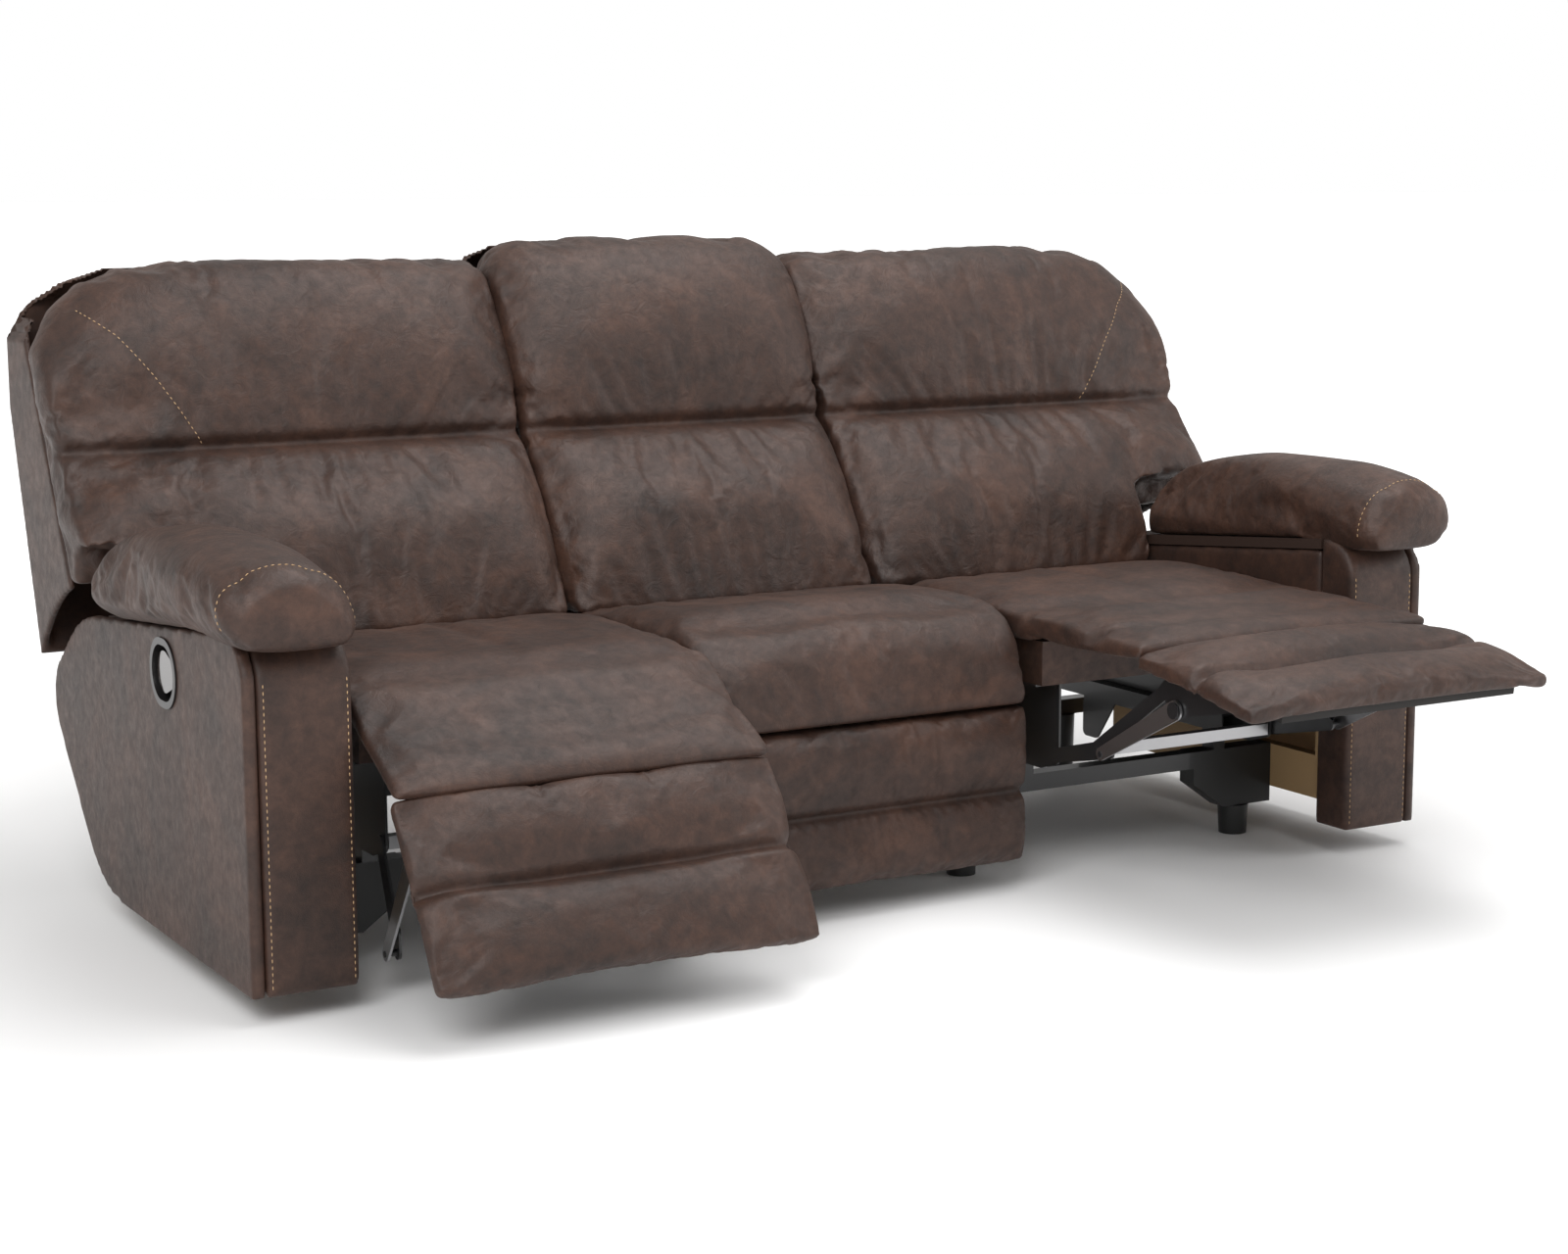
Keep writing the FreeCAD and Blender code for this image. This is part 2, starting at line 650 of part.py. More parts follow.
def seat_box(name, middle, front, low, half):
    """A rectangular frame of boards that carries the webs and the cushion."""
    wide = half * 2
    tall = seat_under - low
    frame = [box(middle - half, front, low, wide, box_board, tall),
             box(middle - half, depth(seat_rear) - box_board, low, wide, box_board, tall),
             box(middle - half, front, low, box_board, depth(seat_rear) - front, tall),
             box(middle + half - box_board, front, low, box_board, depth(seat_rear) - front, tall)]
    return fused(name, frame)


# Middle seat: a fixed frame with its cushion and a two-roll front

bench_half = bench_width / 2
seat_box("middle_seat_frame", size(0), depth(bench_front + nose_depth + 1), rail_high, bench_half - 6)
webbing("middle_seat_webbing", size(0), depth(bench_front + nose_depth + 1))
bench_sections = []
for x, share in across(0, bench_width, cushion_stations):
    draw = (1 - share) * 7.0
    nose = value(depth(bench_front)) + draw
    top = value(seat_top) - draw
    back = value(depth(bench_front + nose_depth))
    corners = [(value(depth(cushion_rear)), value(seat_under) + 1), (back, value(seat_under) + 1),
               (back, value(roll_top) + 1), (nose - 2, value(roll_top) + 5), (nose + 16, top - 82),
               (nose + 160, top), (value(depth(cushion_rear)), top - 26)]
    bench_sections.append(section_yz(x, corners, (0.0, 0.0, 0.0, 9.0, 30.0, 6.0, 1.0)))
set_shape("middle_seat_cushion", Part.makeLoft(bench_sections, True, True))

roll_sections = []
for x, share in across(0, bench_width, cushion_stations):
    draw = (1 - share) * 6.0
    nose = value(depth(bench_front)) + draw
    corners = [(value(depth(bench_front + nose_depth)), value(roll_top) - 1),
               (value(depth(bench_front + nose_depth)), value(roll_bottom) + draw),
               (nose + 2, value(roll_bottom) + draw), (nose, value(roll_seam)), (nose, value(roll_top) - 1)]
    swell = value(roll_swell) * (0.45 + 0.55 * share)
    roll_sections.append(section_yz(x, corners, (0.0, 0.0, swell, swell, 0.0)))
set_shape("middle_front_rolls", Part.makeLoft(roll_sections, True, True))


# Backs: a frame of posts and rails, a cushion of two rolls, and an outside shell

def rear_at(tall):
    """Y of the back cushions' straight rear at a height."""
    slope = value(back_top_depth + back_thick - back_foot - back_foot_thick) / (value(back_top - back_low) + 6)
    return value(depth(back_foot + back_foot_thick)) + slope * (tall - value(back_low))


def back_section(x, share, rise, inset, foot, low):
    """Section of a back cushion: lumbar roll, cross seam, head roll, top and straight rear."""
    draw = (1 - share) * 9.0
    top = value(back_top) + rise - inset
    lean = inset * 0.55
    corners = [(value(depth(foot + back_foot_thick)), low), (value(depth(foot)) + draw, low),
               (value(depth(back_seam_depth)) + draw, value(back_seam_height)),
               (value(depth(back_top_depth)) + draw - lean, top),
               (rear_at(top + 6) - draw * 0.3, top + 6)]
    swell = value(back_swell) * (0.4 + 0.6 * share)
    return section_yz(x, corners, (0.0, swell * 0.9, swell * 1.1, 16.0 + 8.0 * share, 0.0))


back_middle = size(bench_half)
outer_near = seat_pitch - seat_width / 2
outer_far = seat_pitch + seat_width / 2
middle_places = ((-1.0, 0.0, 62.0), (-0.94, 0.55, 30.0), (-0.8, 0.8, 10.0), (-0.4, 0.97, 1.0), (0.0, 1.0, 0.0),
                 (0.4, 0.97, 1.0), (0.8, 0.8, 10.0), (0.94, 0.55, 30.0), (1.0, 0.0, 62.0))
sections = []
for place, share, inset in middle_places:
    sections.append(back_section(place * value(back_middle), share, value(middle_rise), inset,
                                 back_foot, value(back_low)))
set_shape("middle_back_cushion", Part.makeLoft(sections, True, True))


frame_face = back_foot + back_foot_thick + 3


def back_frame(name, side, inner, outer):
    """Two posts that follow the cushion's rear, joined by three rails."""
    lean = (back_top_depth + back_thick - back_foot - back_foot_thick) / (back_top - back_low)
    wood = []

    def line(tall):
        return depth(frame_face) + lean * (tall - back_low)

    post = [(line(back_low), shell_low + 30), (line(back_low) + stile, shell_low + 30),
            (line(back_low) + stile, back_low), (line(back_top - 24) + stile, back_top - 24),
            (line(back_top - 24), back_top - 24), (line(back_low), back_low)]
    for near in (inner, outer - box_board):
        wood.append(slab_along_x(name + "_post", post, start_of(side, near, box_board), box_board, [], False))
    for tall in (shell_low + 30, back_seam_height - stile, back_top - 24 - stile):
        foot = line(back_low) if tall is not back_seam_height and tall.value < back_low.value else line(tall + stile)
        wood.append(box(start_of(side, inner, outer - inner), foot, tall, outer - inner, box_board, stile))
    return fused(name, wood)


shell_top_depth = back_top_depth + back_thick


def back_shell(name, side, inner, outer, rise, shoulder):
    """Outside back: a rear panel that bends at its waist, and a gusset down each side."""
    lean = (back_top_depth + back_thick - back_foot - back_foot_thick) / (back_top - back_low)
    shell_rear = [(depth(shell_foot), shell_low), (depth(shell_waist), shell_waist_height),
                  (depth(shell_waist), back_top + rise - 42),
                  (depth(shell_top_depth + shell_board + 2 + rise * lean), back_top + rise + 8)]
    skin = [(shell_rear[0][0] - shell_board, shell_low), shell_rear[0], shell_rear[1], shell_rear[2],
            shell_rear[3], (shell_rear[3][0] - shell_board, shell_rear[3][1] - 2),
            (shell_rear[2][0] - shell_board, shell_rear[2][1] - 4),
            (shell_rear[1][0] - shell_board, shell_rear[1][1])]
    rear = slab_along_x(name + "_panel", skin, start_of(side, inner, outer - inner), outer - inner, [], False)
    seat_line = depth(back_foot + back_foot_thick + stile + 6)
    gusset = [(seat_line, shell_low), shell_rear[0], shell_rear[1], shell_rear[2], shell_rear[3],
              (seat_line + lean * (back_top - back_low) - 6, back_top - 6), (seat_line, back_low)]
    sides = [slab_along_x(name + "_gusset", gusset, start_of(side, near, shell_board), shell_board, [], False)
             for near in (inner, outer - shell_board)]
    whole = fresh("Part::MultiFuse", "Shell")
    whole.Shapes = [rear] + sides
    # The shoulders are rounded as seen from the front
    front = fresh("PartDesign::Body", "Shoulders")
    outline = new_sketch(front, "XZ_Plane", -depth(shell_waist + 20))
    left = start_of(side, inner, outer - inner)
    high = back_top + rise + 20
    polygon(outline, [(left, shell_low - 5), (left + outer - inner, shell_low - 5),
                      (left + outer - inner, high), (left, high)])
    pad(front, outline, shell_waist - hinge_depth)
    round_corners(front, [(left + outer - inner, high, shoulder if side > 0 else size(40)),
                          (left, high, shoulder if side < 0 else size(40))], "Y")
    trimmed = fresh("Part::MultiCommon", "Shell")
    trimmed.Shapes = [whole, front]
    return trimmed


node(back_shell("middle_back_shell", 1, -bench_half + 2, bench_half - 2, middle_rise, size(40)),
     "middle_back_shell")
back_frame("middle_back_frame", 1, -bench_half + 16, bench_half - 16)

wing_far = size(wing_reach)
for side, word in ((-1, "left"), (1, "right")):
    # The wings reach over the arms, so their underside is cut to the sweep about the back hinge
    sweep = Part.makeCylinder(value(wing_sweep), value(sweep_wide), Vector(0, 0, 0), Vector(side, 0, 0))
    sweep.translate(Vector(side * value(arm_inner - 7), value(depth(hinge_depth)), value(hinge_height)))
    reach = value(wing_far) - value(outer_near)
    places = ((0.0, 0.0, 20.0), (0.035, 0.6, 6.0), (0.2, 0.93, 0.0), (0.45, 1.0, 0.0), (0.66, 0.97, 0.0),
              (0.8, 0.9, 12.0), (0.88, 0.8, 34.0), (0.95, 0.55, 80.0), (1.0, 0.0, 140.0))
    sections = [back_section(side * (value(outer_near) + along * reach), share, 0.0, inset, back_foot,
                             value(back_low)) for along, share, inset in places]
    if side < 0:
        sections.reverse()
    swollen = Part.makeLoft(sections, True, True)
    swollen = swollen.cut(sweep)
    block = Part.makeBox(value(sweep_wide), 200, 160)
    block.translate(Vector(min(side * value(arm_inner - 7), side * value(arm_inner - 7 + sweep_wide)),
                           value(depth(back_foot)) - 60, value(back_low) - 20))
    swollen = swollen.cut(block)
    set_shape(word + "_back_cushion", swollen.Solids[0])

    blank = back_shell(word + "_back_shell", side, outer_near, wing_far - 12, size(0), shoulder_round)
    drum = fresh("Part::Cylinder", "Sweep")
    bind(drum, "Radius", wing_sweep)
    bind(drum, "Height", sweep_wide)
    drum.Placement = Placement(Vector(0, 0, 0), Rotation(Vector(0, 1, 0), 90))
    bind(drum, "Placement.Base.x", arm_inner - 7 if side > 0 else -(arm_inner - 7) - sweep_wide)
    bind(drum, "Placement.Base.y", depth(hinge_depth))
    bind(drum, "Placement.Base.z", hinge_height)
    shell = fresh("Part::Cut", "Shell")
    shell.Base = blank
    shell.Tool = drum
    node(shell, word + "_back_shell")

    middle = seat_pitch * side
    frame_inner = seat_pitch - seat_width / 2 + 16
    frame = back_frame(word + "_back_frame", side, frame_inner, seat_pitch + seat_width / 2 - 4)
    nodes.remove(frame)
    lug = fresh("PartDesign::Body", "Lug")
    lug_sketch = new_sketch(lug, "YZ_Plane", middle + rear_plane)
    hull(lug_sketch, [(depth(hinge_depth), hinge_height, boss + 4),
                      (depth(frame_face - boss - 2), shell_low + stile + 30 - boss, boss)])
    pad(lug, lug_sketch, link_plate)
    eye = new_sketch(lug, "YZ_Plane", middle + rear_plane)
    circle(eye, (depth(hinge_depth), hinge_height), hinge_pin + pin_play)
    pocket(lug, eye, link_plate, True)
    lugs = [lug, mirrored(lug, middle)]
    bridge = box(middle - rear_plane, depth(frame_face - link_plate * 3), shell_low + 30,
                 rear_plane * 2, link_plate * 3, stile)
    fused(word + "_back_brackets", lugs + [bridge])
    node(frame, word + "_back_frame")


# Recliner seats and their mechanism, one set for each end of the sofa

def placed(thing, edge, turn):
    """Turns a footrest piece, drawn shut about its top edge, to where it stands."""
    thing.Placement = Placement(Vector(0, 0, 0), Rotation(Vector(1, 0, 0), -value(turn)))
    bind(thing, "Placement.Base.y", edge[0])
    bind(thing, "Placement.Base.z", edge[1])
    bind(thing, "Placement.Rotation.Angle", turn)
    thing.Placement.Rotation.Axis = Vector(-1, 0, 0)


def pin_on(body, spot, near, length, radius):
    sketch = new_sketch(body, "YZ_Plane", near)
    circle(sketch, spot, radius)
    pad(body, sketch, length)


def link(name, middle, near, knobs, holes, pins):
    """A pair of plate links with their holes and fixed pins, one on each side of the seat."""
    body = fresh("PartDesign::Body", "Link")
    sketch = new_sketch(body, "YZ_Plane", middle + near)
    hull(sketch, knobs)
    for spot, radius in holes:
        circle(sketch, spot, radius)
    pad(body, sketch, link_plate)
    for spot, begin, length, radius in pins:
        pin_on(body, spot, middle + begin, length, radius)
    return [body, mirrored(body, middle)]


running = pin + pin_play

for side, word, share in ((-1, "left", left_share), (1, "right", right_share)):
    middle = seat_pitch * side
    rear_angle = rear_closed + (rear_open - rear_closed) * share
    front_angle = front_closed + (front_open - front_closed) * share
    turn = rest_turn * share
    lift = (depth(lift_depth), lift_height)
    knee = ended(lift, rear_link, rear_angle)
    ankle = ended(knee, front_link, front_angle)
    horn = offset_point(knee, horn_along, horn_across, rear_angle)
    down = 270 - turn
    edge = (ankle[0] - rest_pivot_down * cosine(down) + rest_pivot_back * cosine(turn) * -1,
            ankle[1] - rest_pivot_down * sine(down) + rest_pivot_back * sine(turn))
    toe_horn = (edge[0] + rest_horn_down * cosine(down) + rest_horn_back * cosine(turn),
                edge[1] + rest_horn_down * sine(down) - rest_horn_back * sine(turn))

    seat_box(word + "_seat_frame", middle, depth(seat_front), seat_box_low, seat_box_half)
    webbing(word + "_seat_webbing", middle, depth(seat_front))
    front = value(depth(seat_front)) + 4
    seat_sections = [seat_section(x, s, front) for x, s in across(middle, seat_width, cushion_stations)]
    set_shape(word + "_seat_cushion", Part.makeLoft(seat_sections, True, True))

    # Side plates carry the seat box and the slide rollers, and hold the lift shaft and the back hinge
    plate_low = track_low - 12
    plate = slab_along_x(word + "_plate",
                         [(depth(lift_depth - boss), seat_box_low),
                          (depth(lift_depth - boss), lift_height - boss - 1),
                          (depth(lift_depth + 40), plate_low),
                          (depth(hinge_depth - 80), plate_low),
                          (depth(hinge_depth - boss - 14), hinge_height - boss - 5),
                          (depth(hinge_depth + boss + 8), hinge_height - boss - 5),
                          (depth(hinge_depth + boss + 8), hinge_height + 40),
                          (depth(seat_rear), seat_box_low)],
                         middle + plate_place, link_plate, [(4, boss), (5, boss), (1, boss)], False)
    shaft_hole = new_sketch(plate, "YZ_Plane", middle + plate_place)
    circle(shaft_hole, lift, running)
    pocket(plate, shaft_hole, link_plate, True)
    pin_on(plate, (depth(hinge_depth), hinge_height), middle + plate_place + link_plate, step + 1, hinge_pin)
    for place in (track_front + roller_inset, hinge_depth - roller_lead):
        pin_on(plate, (depth(place), (track_low + track_high) / 2), middle + track_place + track_wall + 2,
               plate_place - track_place - track_wall - 2,
               (track_high - track_low) / 2 - track_wall - running_gap)
    flange = box(middle + plate_place, depth(lift_depth), seat_box_low - link_plate,
                 seat_box_half - plate_place, seat_rear - lift_depth, link_plate)
    brace = box(middle - plate_place, depth(hinge_depth - 200), seat_box_low - tube_side * 2.2,
                plate_place * 2, tube_side, tube_side)
    fused(word + "_side_plates", [plate, mirrored(plate, middle), flange, mirrored(flange, middle), brace])

    # Rear links turn with the lift shaft, which runs through the plates to the square drive tube
    pair = link(word + "_rear_link", middle, rear_plane,
                [(lift[0], lift[1], boss), (knee[0], knee[1], boss), (horn[0], horn[1], boss * 0.9)], [],
                [(lift, plate_place - link_gap, step + link_gap, pin),
                 (knee, rear_plane + link_plate, step + 1, pin),
                 (horn, rear_plane + link_plate, step * 3 + 1, pin)])
    group(word + "_rear_links", pair)
    tube_half = plate_place - link_gap
    node(box(middle - tube_half, lift[0] - tube_side / 2, lift[1] - tube_side / 2, tube_half * 2,
             tube_side, tube_side), word + "_drive_tube")

    pair = link(word + "_front_link", middle, front_plane_place,
                [(knee[0], knee[1], boss), (ankle[0], ankle[1], boss)], [(knee, running), (ankle, running)], [])
    group(word + "_front_links", pair)

    open_hole = open_pin + open_play
    pair = link(word + "_front_control", middle, control_plane,
                [(horn[0], horn[1], boss * 0.9), (toe_horn[0], toe_horn[1], open_hole + 4)],
                [(horn, running), (toe_horn, open_hole)], [])
    group(word + "_front_controls", pair)

    # Footrest: brackets, board and pad, drawn shut about the pad's top edge and then turned
    bracket = fresh("PartDesign::Body", "Bracket")
    web = new_sketch(bracket, "YZ_Plane", middle + bracket_plane)
    back_face = rest_back + rest_board
    foot_reach = -rest_length * 0.6
    hull(web, [(back_face + 8, foot_reach, 8), (rest_horn_back, -rest_horn_down, boss),
               (rest_pivot_back, -rest_pivot_down, boss), (back_face + 8, -rest_pivot_down - 14, 8)])
    pad(bracket, web, link_plate)
    pin_on(bracket, (rest_pivot_back, -rest_pivot_down), middle + front_plane_place - 1, step + 1, pin)
    pin_on(bracket, (rest_horn_back, -rest_horn_down), middle + bracket_plane + link_plate, step + 3, open_pin)
    pin_on(bracket, (rest_horn_back, -rest_horn_down), middle + control_plane + link_plate + 1.5,
           washer_thick, washer)
    flange = new_sketch(bracket, "YZ_Plane", middle + board_half - 26)
    polygon(flange, [(back_face, -rest_pivot_down - 14), (back_face, foot_reach),
                     (back_face + link_plate, foot_reach), (back_face + link_plate, -rest_pivot_down - 14)])
    pad(bracket, flange, bracket_plane + link_plate - board_half + 26)
    placed(bracket, edge, turn)
    group(word + "_footrest_brackets", [bracket, mirrored(bracket, middle)])

    panel = fresh("PartDesign::Body", "Board")
    outline = new_sketch(panel, "YZ_Plane", middle - board_half)
    polygon(outline, [(rest_back, -rest_length + 10), (back_face, -rest_length + 10),
                      (back_face, size(-8)), (rest_back, size(-8))])
    pad(panel, outline, board_half * 2)
    placed(panel, edge, turn)
    node(panel, word + "_footrest_board")

    rolls = []
    for x, s in across(middle, rest_width, cushion_stations):
        draw = (1 - s) * 6.0
        ahead = -value(rest_front) + draw
        half_way = -value(rest_length) * 0.49
        low = -value(rest_length) + draw
        corners = [(value(rest_back), 0 - draw * 0.3), (value(rest_back), low), (ahead, low),
                   (ahead + 3, half_way), (ahead, 0 - draw * 0.3)]
        swell = value(rest_swell) * (0.4 + 0.6 * s)
        rolls.append(section_yz(x, corners, (0.0, 3.0, swell, swell, 0.0)))
    cushion = fresh("Part::Feature", "Soft")
    cushion.Shape = Part.makeLoft(rolls, True, True)
    cushion.Placement = Placement(Vector(0, value(edge[0]), value(edge[1])),
                                  Rotation(Vector(1, 0, 0), -value(turn)))
    node(cushion, word + "_footrest_pad")

    # Flap: the strip sewn to the footrest's top edge, and the soft gusset between it and the seat
    gap = value(running_gap)
    slope = math.radians(value(turn))
    away = (math.sin(slope), math.cos(slope))
    upward = (-math.cos(slope), math.sin(slope))
    corner = (value(edge[0]) + gap * away[0], value(edge[1]) + gap * away[1])
    thick = value(flap_thick)
    seat_edge = (value(depth(seat_front)) + 2, value(seat_top) - 14)
    low_front = (corner[0] - upward[0] * value(flap_drop), corner[1] - upward[1] * value(flap_drop))
    high_front = (low_front[0] + upward[0] * thick, low_front[1] + upward[1] * thick)
    span = math.hypot(seat_edge[0] - high_front[0], seat_edge[1] - high_front[1])
    part_way = value(flap_length) / span
    high_split = tuple(high_front[i] + (seat_edge[i] - high_front[i]) * part_way for i in (0, 1))
    seat_low = (seat_edge[0], value(seat_under) + 14)
    low_split = tuple(low_front[i] + (seat_low[i] - low_front[i]) * part_way for i in (0, 1))
    strip = []
    gusset = []
    for x, s in across(middle, seat_width, cushion_stations):
        draw = (1 - s) * 5.0
        strip.append(section_yz(x, [(low_split[0] - 1, low_split[1]), low_front,
                                    (high_front[0] - upward[0] * draw, high_front[1] - upward[1] * draw),
                                    (high_split[0] - 1, high_split[1] - draw)], (0.0, 0.0, 4.0, 0.0)))
        gusset.append(section_yz(x, [(seat_low[0] - 1, seat_low[1]), (low_split[0] + 1, low_split[1]),
                                     (high_split[0] + 1, high_split[1] - draw),
                                     (seat_edge[0] - 1, seat_edge[1] - draw)], (0.0, 0.0, 6.0, 0.0)))
    set_shape(word + "_seat_flap", Part.makeLoft(strip, True, True))
    set_shape(word + "_flap_gusset", Part.makeLoft(gusset, True, True))


# Base: cross rails, corner blocks, slide tracks and feet

rail_reach = arm_inner + inner_skin
for name, place, reach in (("front_cross_rail", rail_front, block_inner), ("rear_cross_rail", rail_rear, rail_reach)):
    node(box(-reach, depth(place), rail_low, reach * 2, rail_depth, rail_high - rail_low), name)

blocks = []
feet = []
for side in (-1, 1):
    block = fresh("PartDesign::Body", "Block")
    outline = new_sketch(block, "XZ_Plane", -depth(rail_front + block_depth))
    near = start_of(side, block_inner, block_width)
    bevel = block_width * 0.4
    low = foot_height
    left_low = low + (bevel * 0.7 if side > 0 else 0)
    right_low = low + (bevel * 0.7 if side < 0 else 0)
    corners = [(near, rail_high), (near, left_low)]
    if side > 0:
        corners.append((near + bevel, low))
        corners.append((near + block_width, low))
    else:
        corners.append((near + block_width - bevel, low))
        corners.append((near + block_width, right_low))
    corners.append((near + block_width, rail_high))
    polygon(outline, corners)
    pad(block, outline, block_depth)
    blocks.append(block)
    for place, back in ((foot_place, rail_front + block_depth / 2), (foot_place, rail_rear + rail_depth / 2),
                        (seat_pitch - seat_width / 2 - 40, rail_front + rail_depth / 2),
                        (seat_pitch - seat_width / 2 - 40, rail_rear + rail_depth / 2)):
        foot = fresh("Part::Cone", "Foot")
        tall = foot_height if back is not None and place is foot_place and back.value < 300 else rail_low
        bind(foot, "Radius1", foot_radius - foot_taper)
        bind(foot, "Radius2", foot_radius)
        bind(foot, "Height", tall)
        bind(foot, "Placement.Base.x", place * side)
        bind(foot, "Placement.Base.y", depth(back))
        feet.append(foot)
group("front_corner_blocks", blocks)
group("feet", feet)

tracks = []
for side in (-1, 1):
    middle = seat_pitch * side
    track = fresh("PartDesign::Body", "Track")
    outline = new_sketch(track, "XZ_Plane", -depth(track_rear))
    near = middle + track_place
    far = near + track_width
    polygon(outline, [(near, track_low), (far, track_low), (far, track_low + track_wall),
                      (near + track_wall, track_low + track_wall),
                      (near + track_wall, track_high - track_wall), (far, track_high - track_wall),
                      (far, track_high), (near, track_high)])
    pad(track, outline, track_rear - track_front)
    legs = [box(near, depth(place), rail_high, track_width, rail_depth, track_low - rail_high)
            for place in (rail_front, rail_rear)]
    whole = fresh("Part::MultiFuse", "Track")
    whole.Shapes = [track] + legs
    tracks.append(whole)
    tracks.append(mirrored(whole, middle))
group("slide_tracks", tracks)

doc.recompute()

# Every object is checked before anything is written
faults = [o.Name for o in doc.Objects if "Invalid" in o.State or "Error" in o.State]
for thing in nodes:
    shape = thing.Shape
    if shape.isNull() or not shape.isValid() or not shape.Solids:
        faults.append(thing.Label)
if faults:
    raise RuntimeError("failed: " + ", ".join(faults))

os.makedirs("parts", exist_ok=True)
for thing in nodes:
    thing.Shape.exportStep(os.path.join("parts", thing.Label + ".step"))
whole = Part.makeCompound([thing.Shape for thing in nodes])
print("nodes", len(nodes), "box", whole.BoundBox)
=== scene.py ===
import math

import bmesh
import bpy
from mathutils import Matrix, Vector
from mathutils.bvhtree import BVHTree


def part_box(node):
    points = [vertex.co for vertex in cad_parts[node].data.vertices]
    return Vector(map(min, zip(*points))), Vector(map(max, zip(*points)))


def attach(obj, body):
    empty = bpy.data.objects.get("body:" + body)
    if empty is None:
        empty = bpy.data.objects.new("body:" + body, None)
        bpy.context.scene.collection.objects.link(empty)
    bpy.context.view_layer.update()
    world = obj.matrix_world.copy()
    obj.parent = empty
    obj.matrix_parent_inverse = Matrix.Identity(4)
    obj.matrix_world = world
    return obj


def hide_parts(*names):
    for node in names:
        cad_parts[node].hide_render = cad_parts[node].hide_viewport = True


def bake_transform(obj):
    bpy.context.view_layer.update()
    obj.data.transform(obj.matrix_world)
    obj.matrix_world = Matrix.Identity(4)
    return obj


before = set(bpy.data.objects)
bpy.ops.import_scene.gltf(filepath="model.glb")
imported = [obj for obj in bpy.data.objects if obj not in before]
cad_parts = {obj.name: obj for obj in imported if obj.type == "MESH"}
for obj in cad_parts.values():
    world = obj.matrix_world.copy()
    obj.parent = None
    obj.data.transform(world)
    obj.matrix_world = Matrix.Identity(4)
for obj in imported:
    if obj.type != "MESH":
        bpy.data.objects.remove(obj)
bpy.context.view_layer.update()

# Arm panels: padded boards on the side, front and inside of each arm, covered in mottled chocolate hide.
# Each cover is an even mesh of the solid panel with its edges softened, and the front panel has a line
# of tan stitches down both of its long edges.
base = "sofa_base"
hide = bpy.data.node_groups.new("mottled_hide", "ShaderNodeTree")
for word, kind in (("Mottle size", "NodeSocketFloat"), ("Grain size", "NodeSocketFloat"),
                   ("Crease depth", "NodeSocketFloat"), ("Shift", "NodeSocketVector")):
    hide.interface.new_socket(word, in_out="INPUT", socket_type=kind)
for word, kind in (("Colour", "NodeSocketColor"), ("Roughness", "NodeSocketFloat"),
                   ("Normal", "NodeSocketVector")):
    hide.interface.new_socket(word, in_out="OUTPUT", socket_type=kind)
way_in = hide.nodes.new("NodeGroupInput")
way_out = hide.nodes.new("NodeGroupOutput")
place = hide.nodes.new("ShaderNodeTexCoord")
shifted = hide.nodes.new("ShaderNodeVectorMath")
hide.links.new(place.outputs["Object"], shifted.inputs[0])
hide.links.new(way_in.outputs["Shift"], shifted.inputs[1])


def hide_noise(factor, detail, rough, distortion):
    """Noise whose scale is the mottle size times the factor."""
    size = hide.nodes.new("ShaderNodeMath")
    size.operation = "MULTIPLY"
    size.inputs[1].default_value = factor
    hide.links.new(way_in.outputs["Mottle size"], size.inputs[0])
    grain = hide.nodes.new("ShaderNodeTexNoise")
    grain.inputs["Detail"].default_value = detail
    grain.inputs["Roughness"].default_value = rough
    grain.inputs["Distortion"].default_value = distortion
    hide.links.new(shifted.outputs[0], grain.inputs["Vector"])
    hide.links.new(size.outputs[0], grain.inputs["Scale"])
    return grain


clouds = hide_noise(factor=1.0, detail=5.0, rough=0.62, distortion=0.6)
flecks = hide_noise(factor=7.0, detail=6.0, rough=0.7, distortion=0.3)
creases = hide_noise(factor=5.0, detail=4.0, rough=0.55, distortion=1.4)
pores = hide.nodes.new("ShaderNodeTexVoronoi")
pores.feature = "F1"
hide.links.new(shifted.outputs[0], pores.inputs["Vector"])
hide.links.new(way_in.outputs["Grain size"], pores.inputs["Scale"])

tone = hide.nodes.new("ShaderNodeValToRGB")
dark_end, pale_end = tone.color_ramp.elements[0], tone.color_ramp.elements[1]
dark_end.position = 0.36
dark_end.color = (0.0165, 0.0080, 0.0055, 1)
pale_end.position = 0.66
pale_end.color = (0.070, 0.0325, 0.0205, 1)
tone.color_ramp.elements.new(0.5).color = (0.037, 0.0170, 0.0110, 1)
mottle = hide.nodes.new("ShaderNodeMix")
mottle.inputs["Factor"].default_value = 0.42
hide.links.new(clouds.outputs["Fac"], mottle.inputs["A"])
hide.links.new(flecks.outputs["Fac"], mottle.inputs["B"])
hide.links.new(mottle.outputs["Result"], tone.inputs["Fac"])

satin = hide.nodes.new("ShaderNodeMapRange")
for word, amount in (("From Min", 0.3), ("From Max", 0.7), ("To Min", 0.60), ("To Max", 0.46)):
    satin.inputs[word].default_value = amount
hide.links.new(flecks.outputs["Fac"], satin.inputs["Value"])

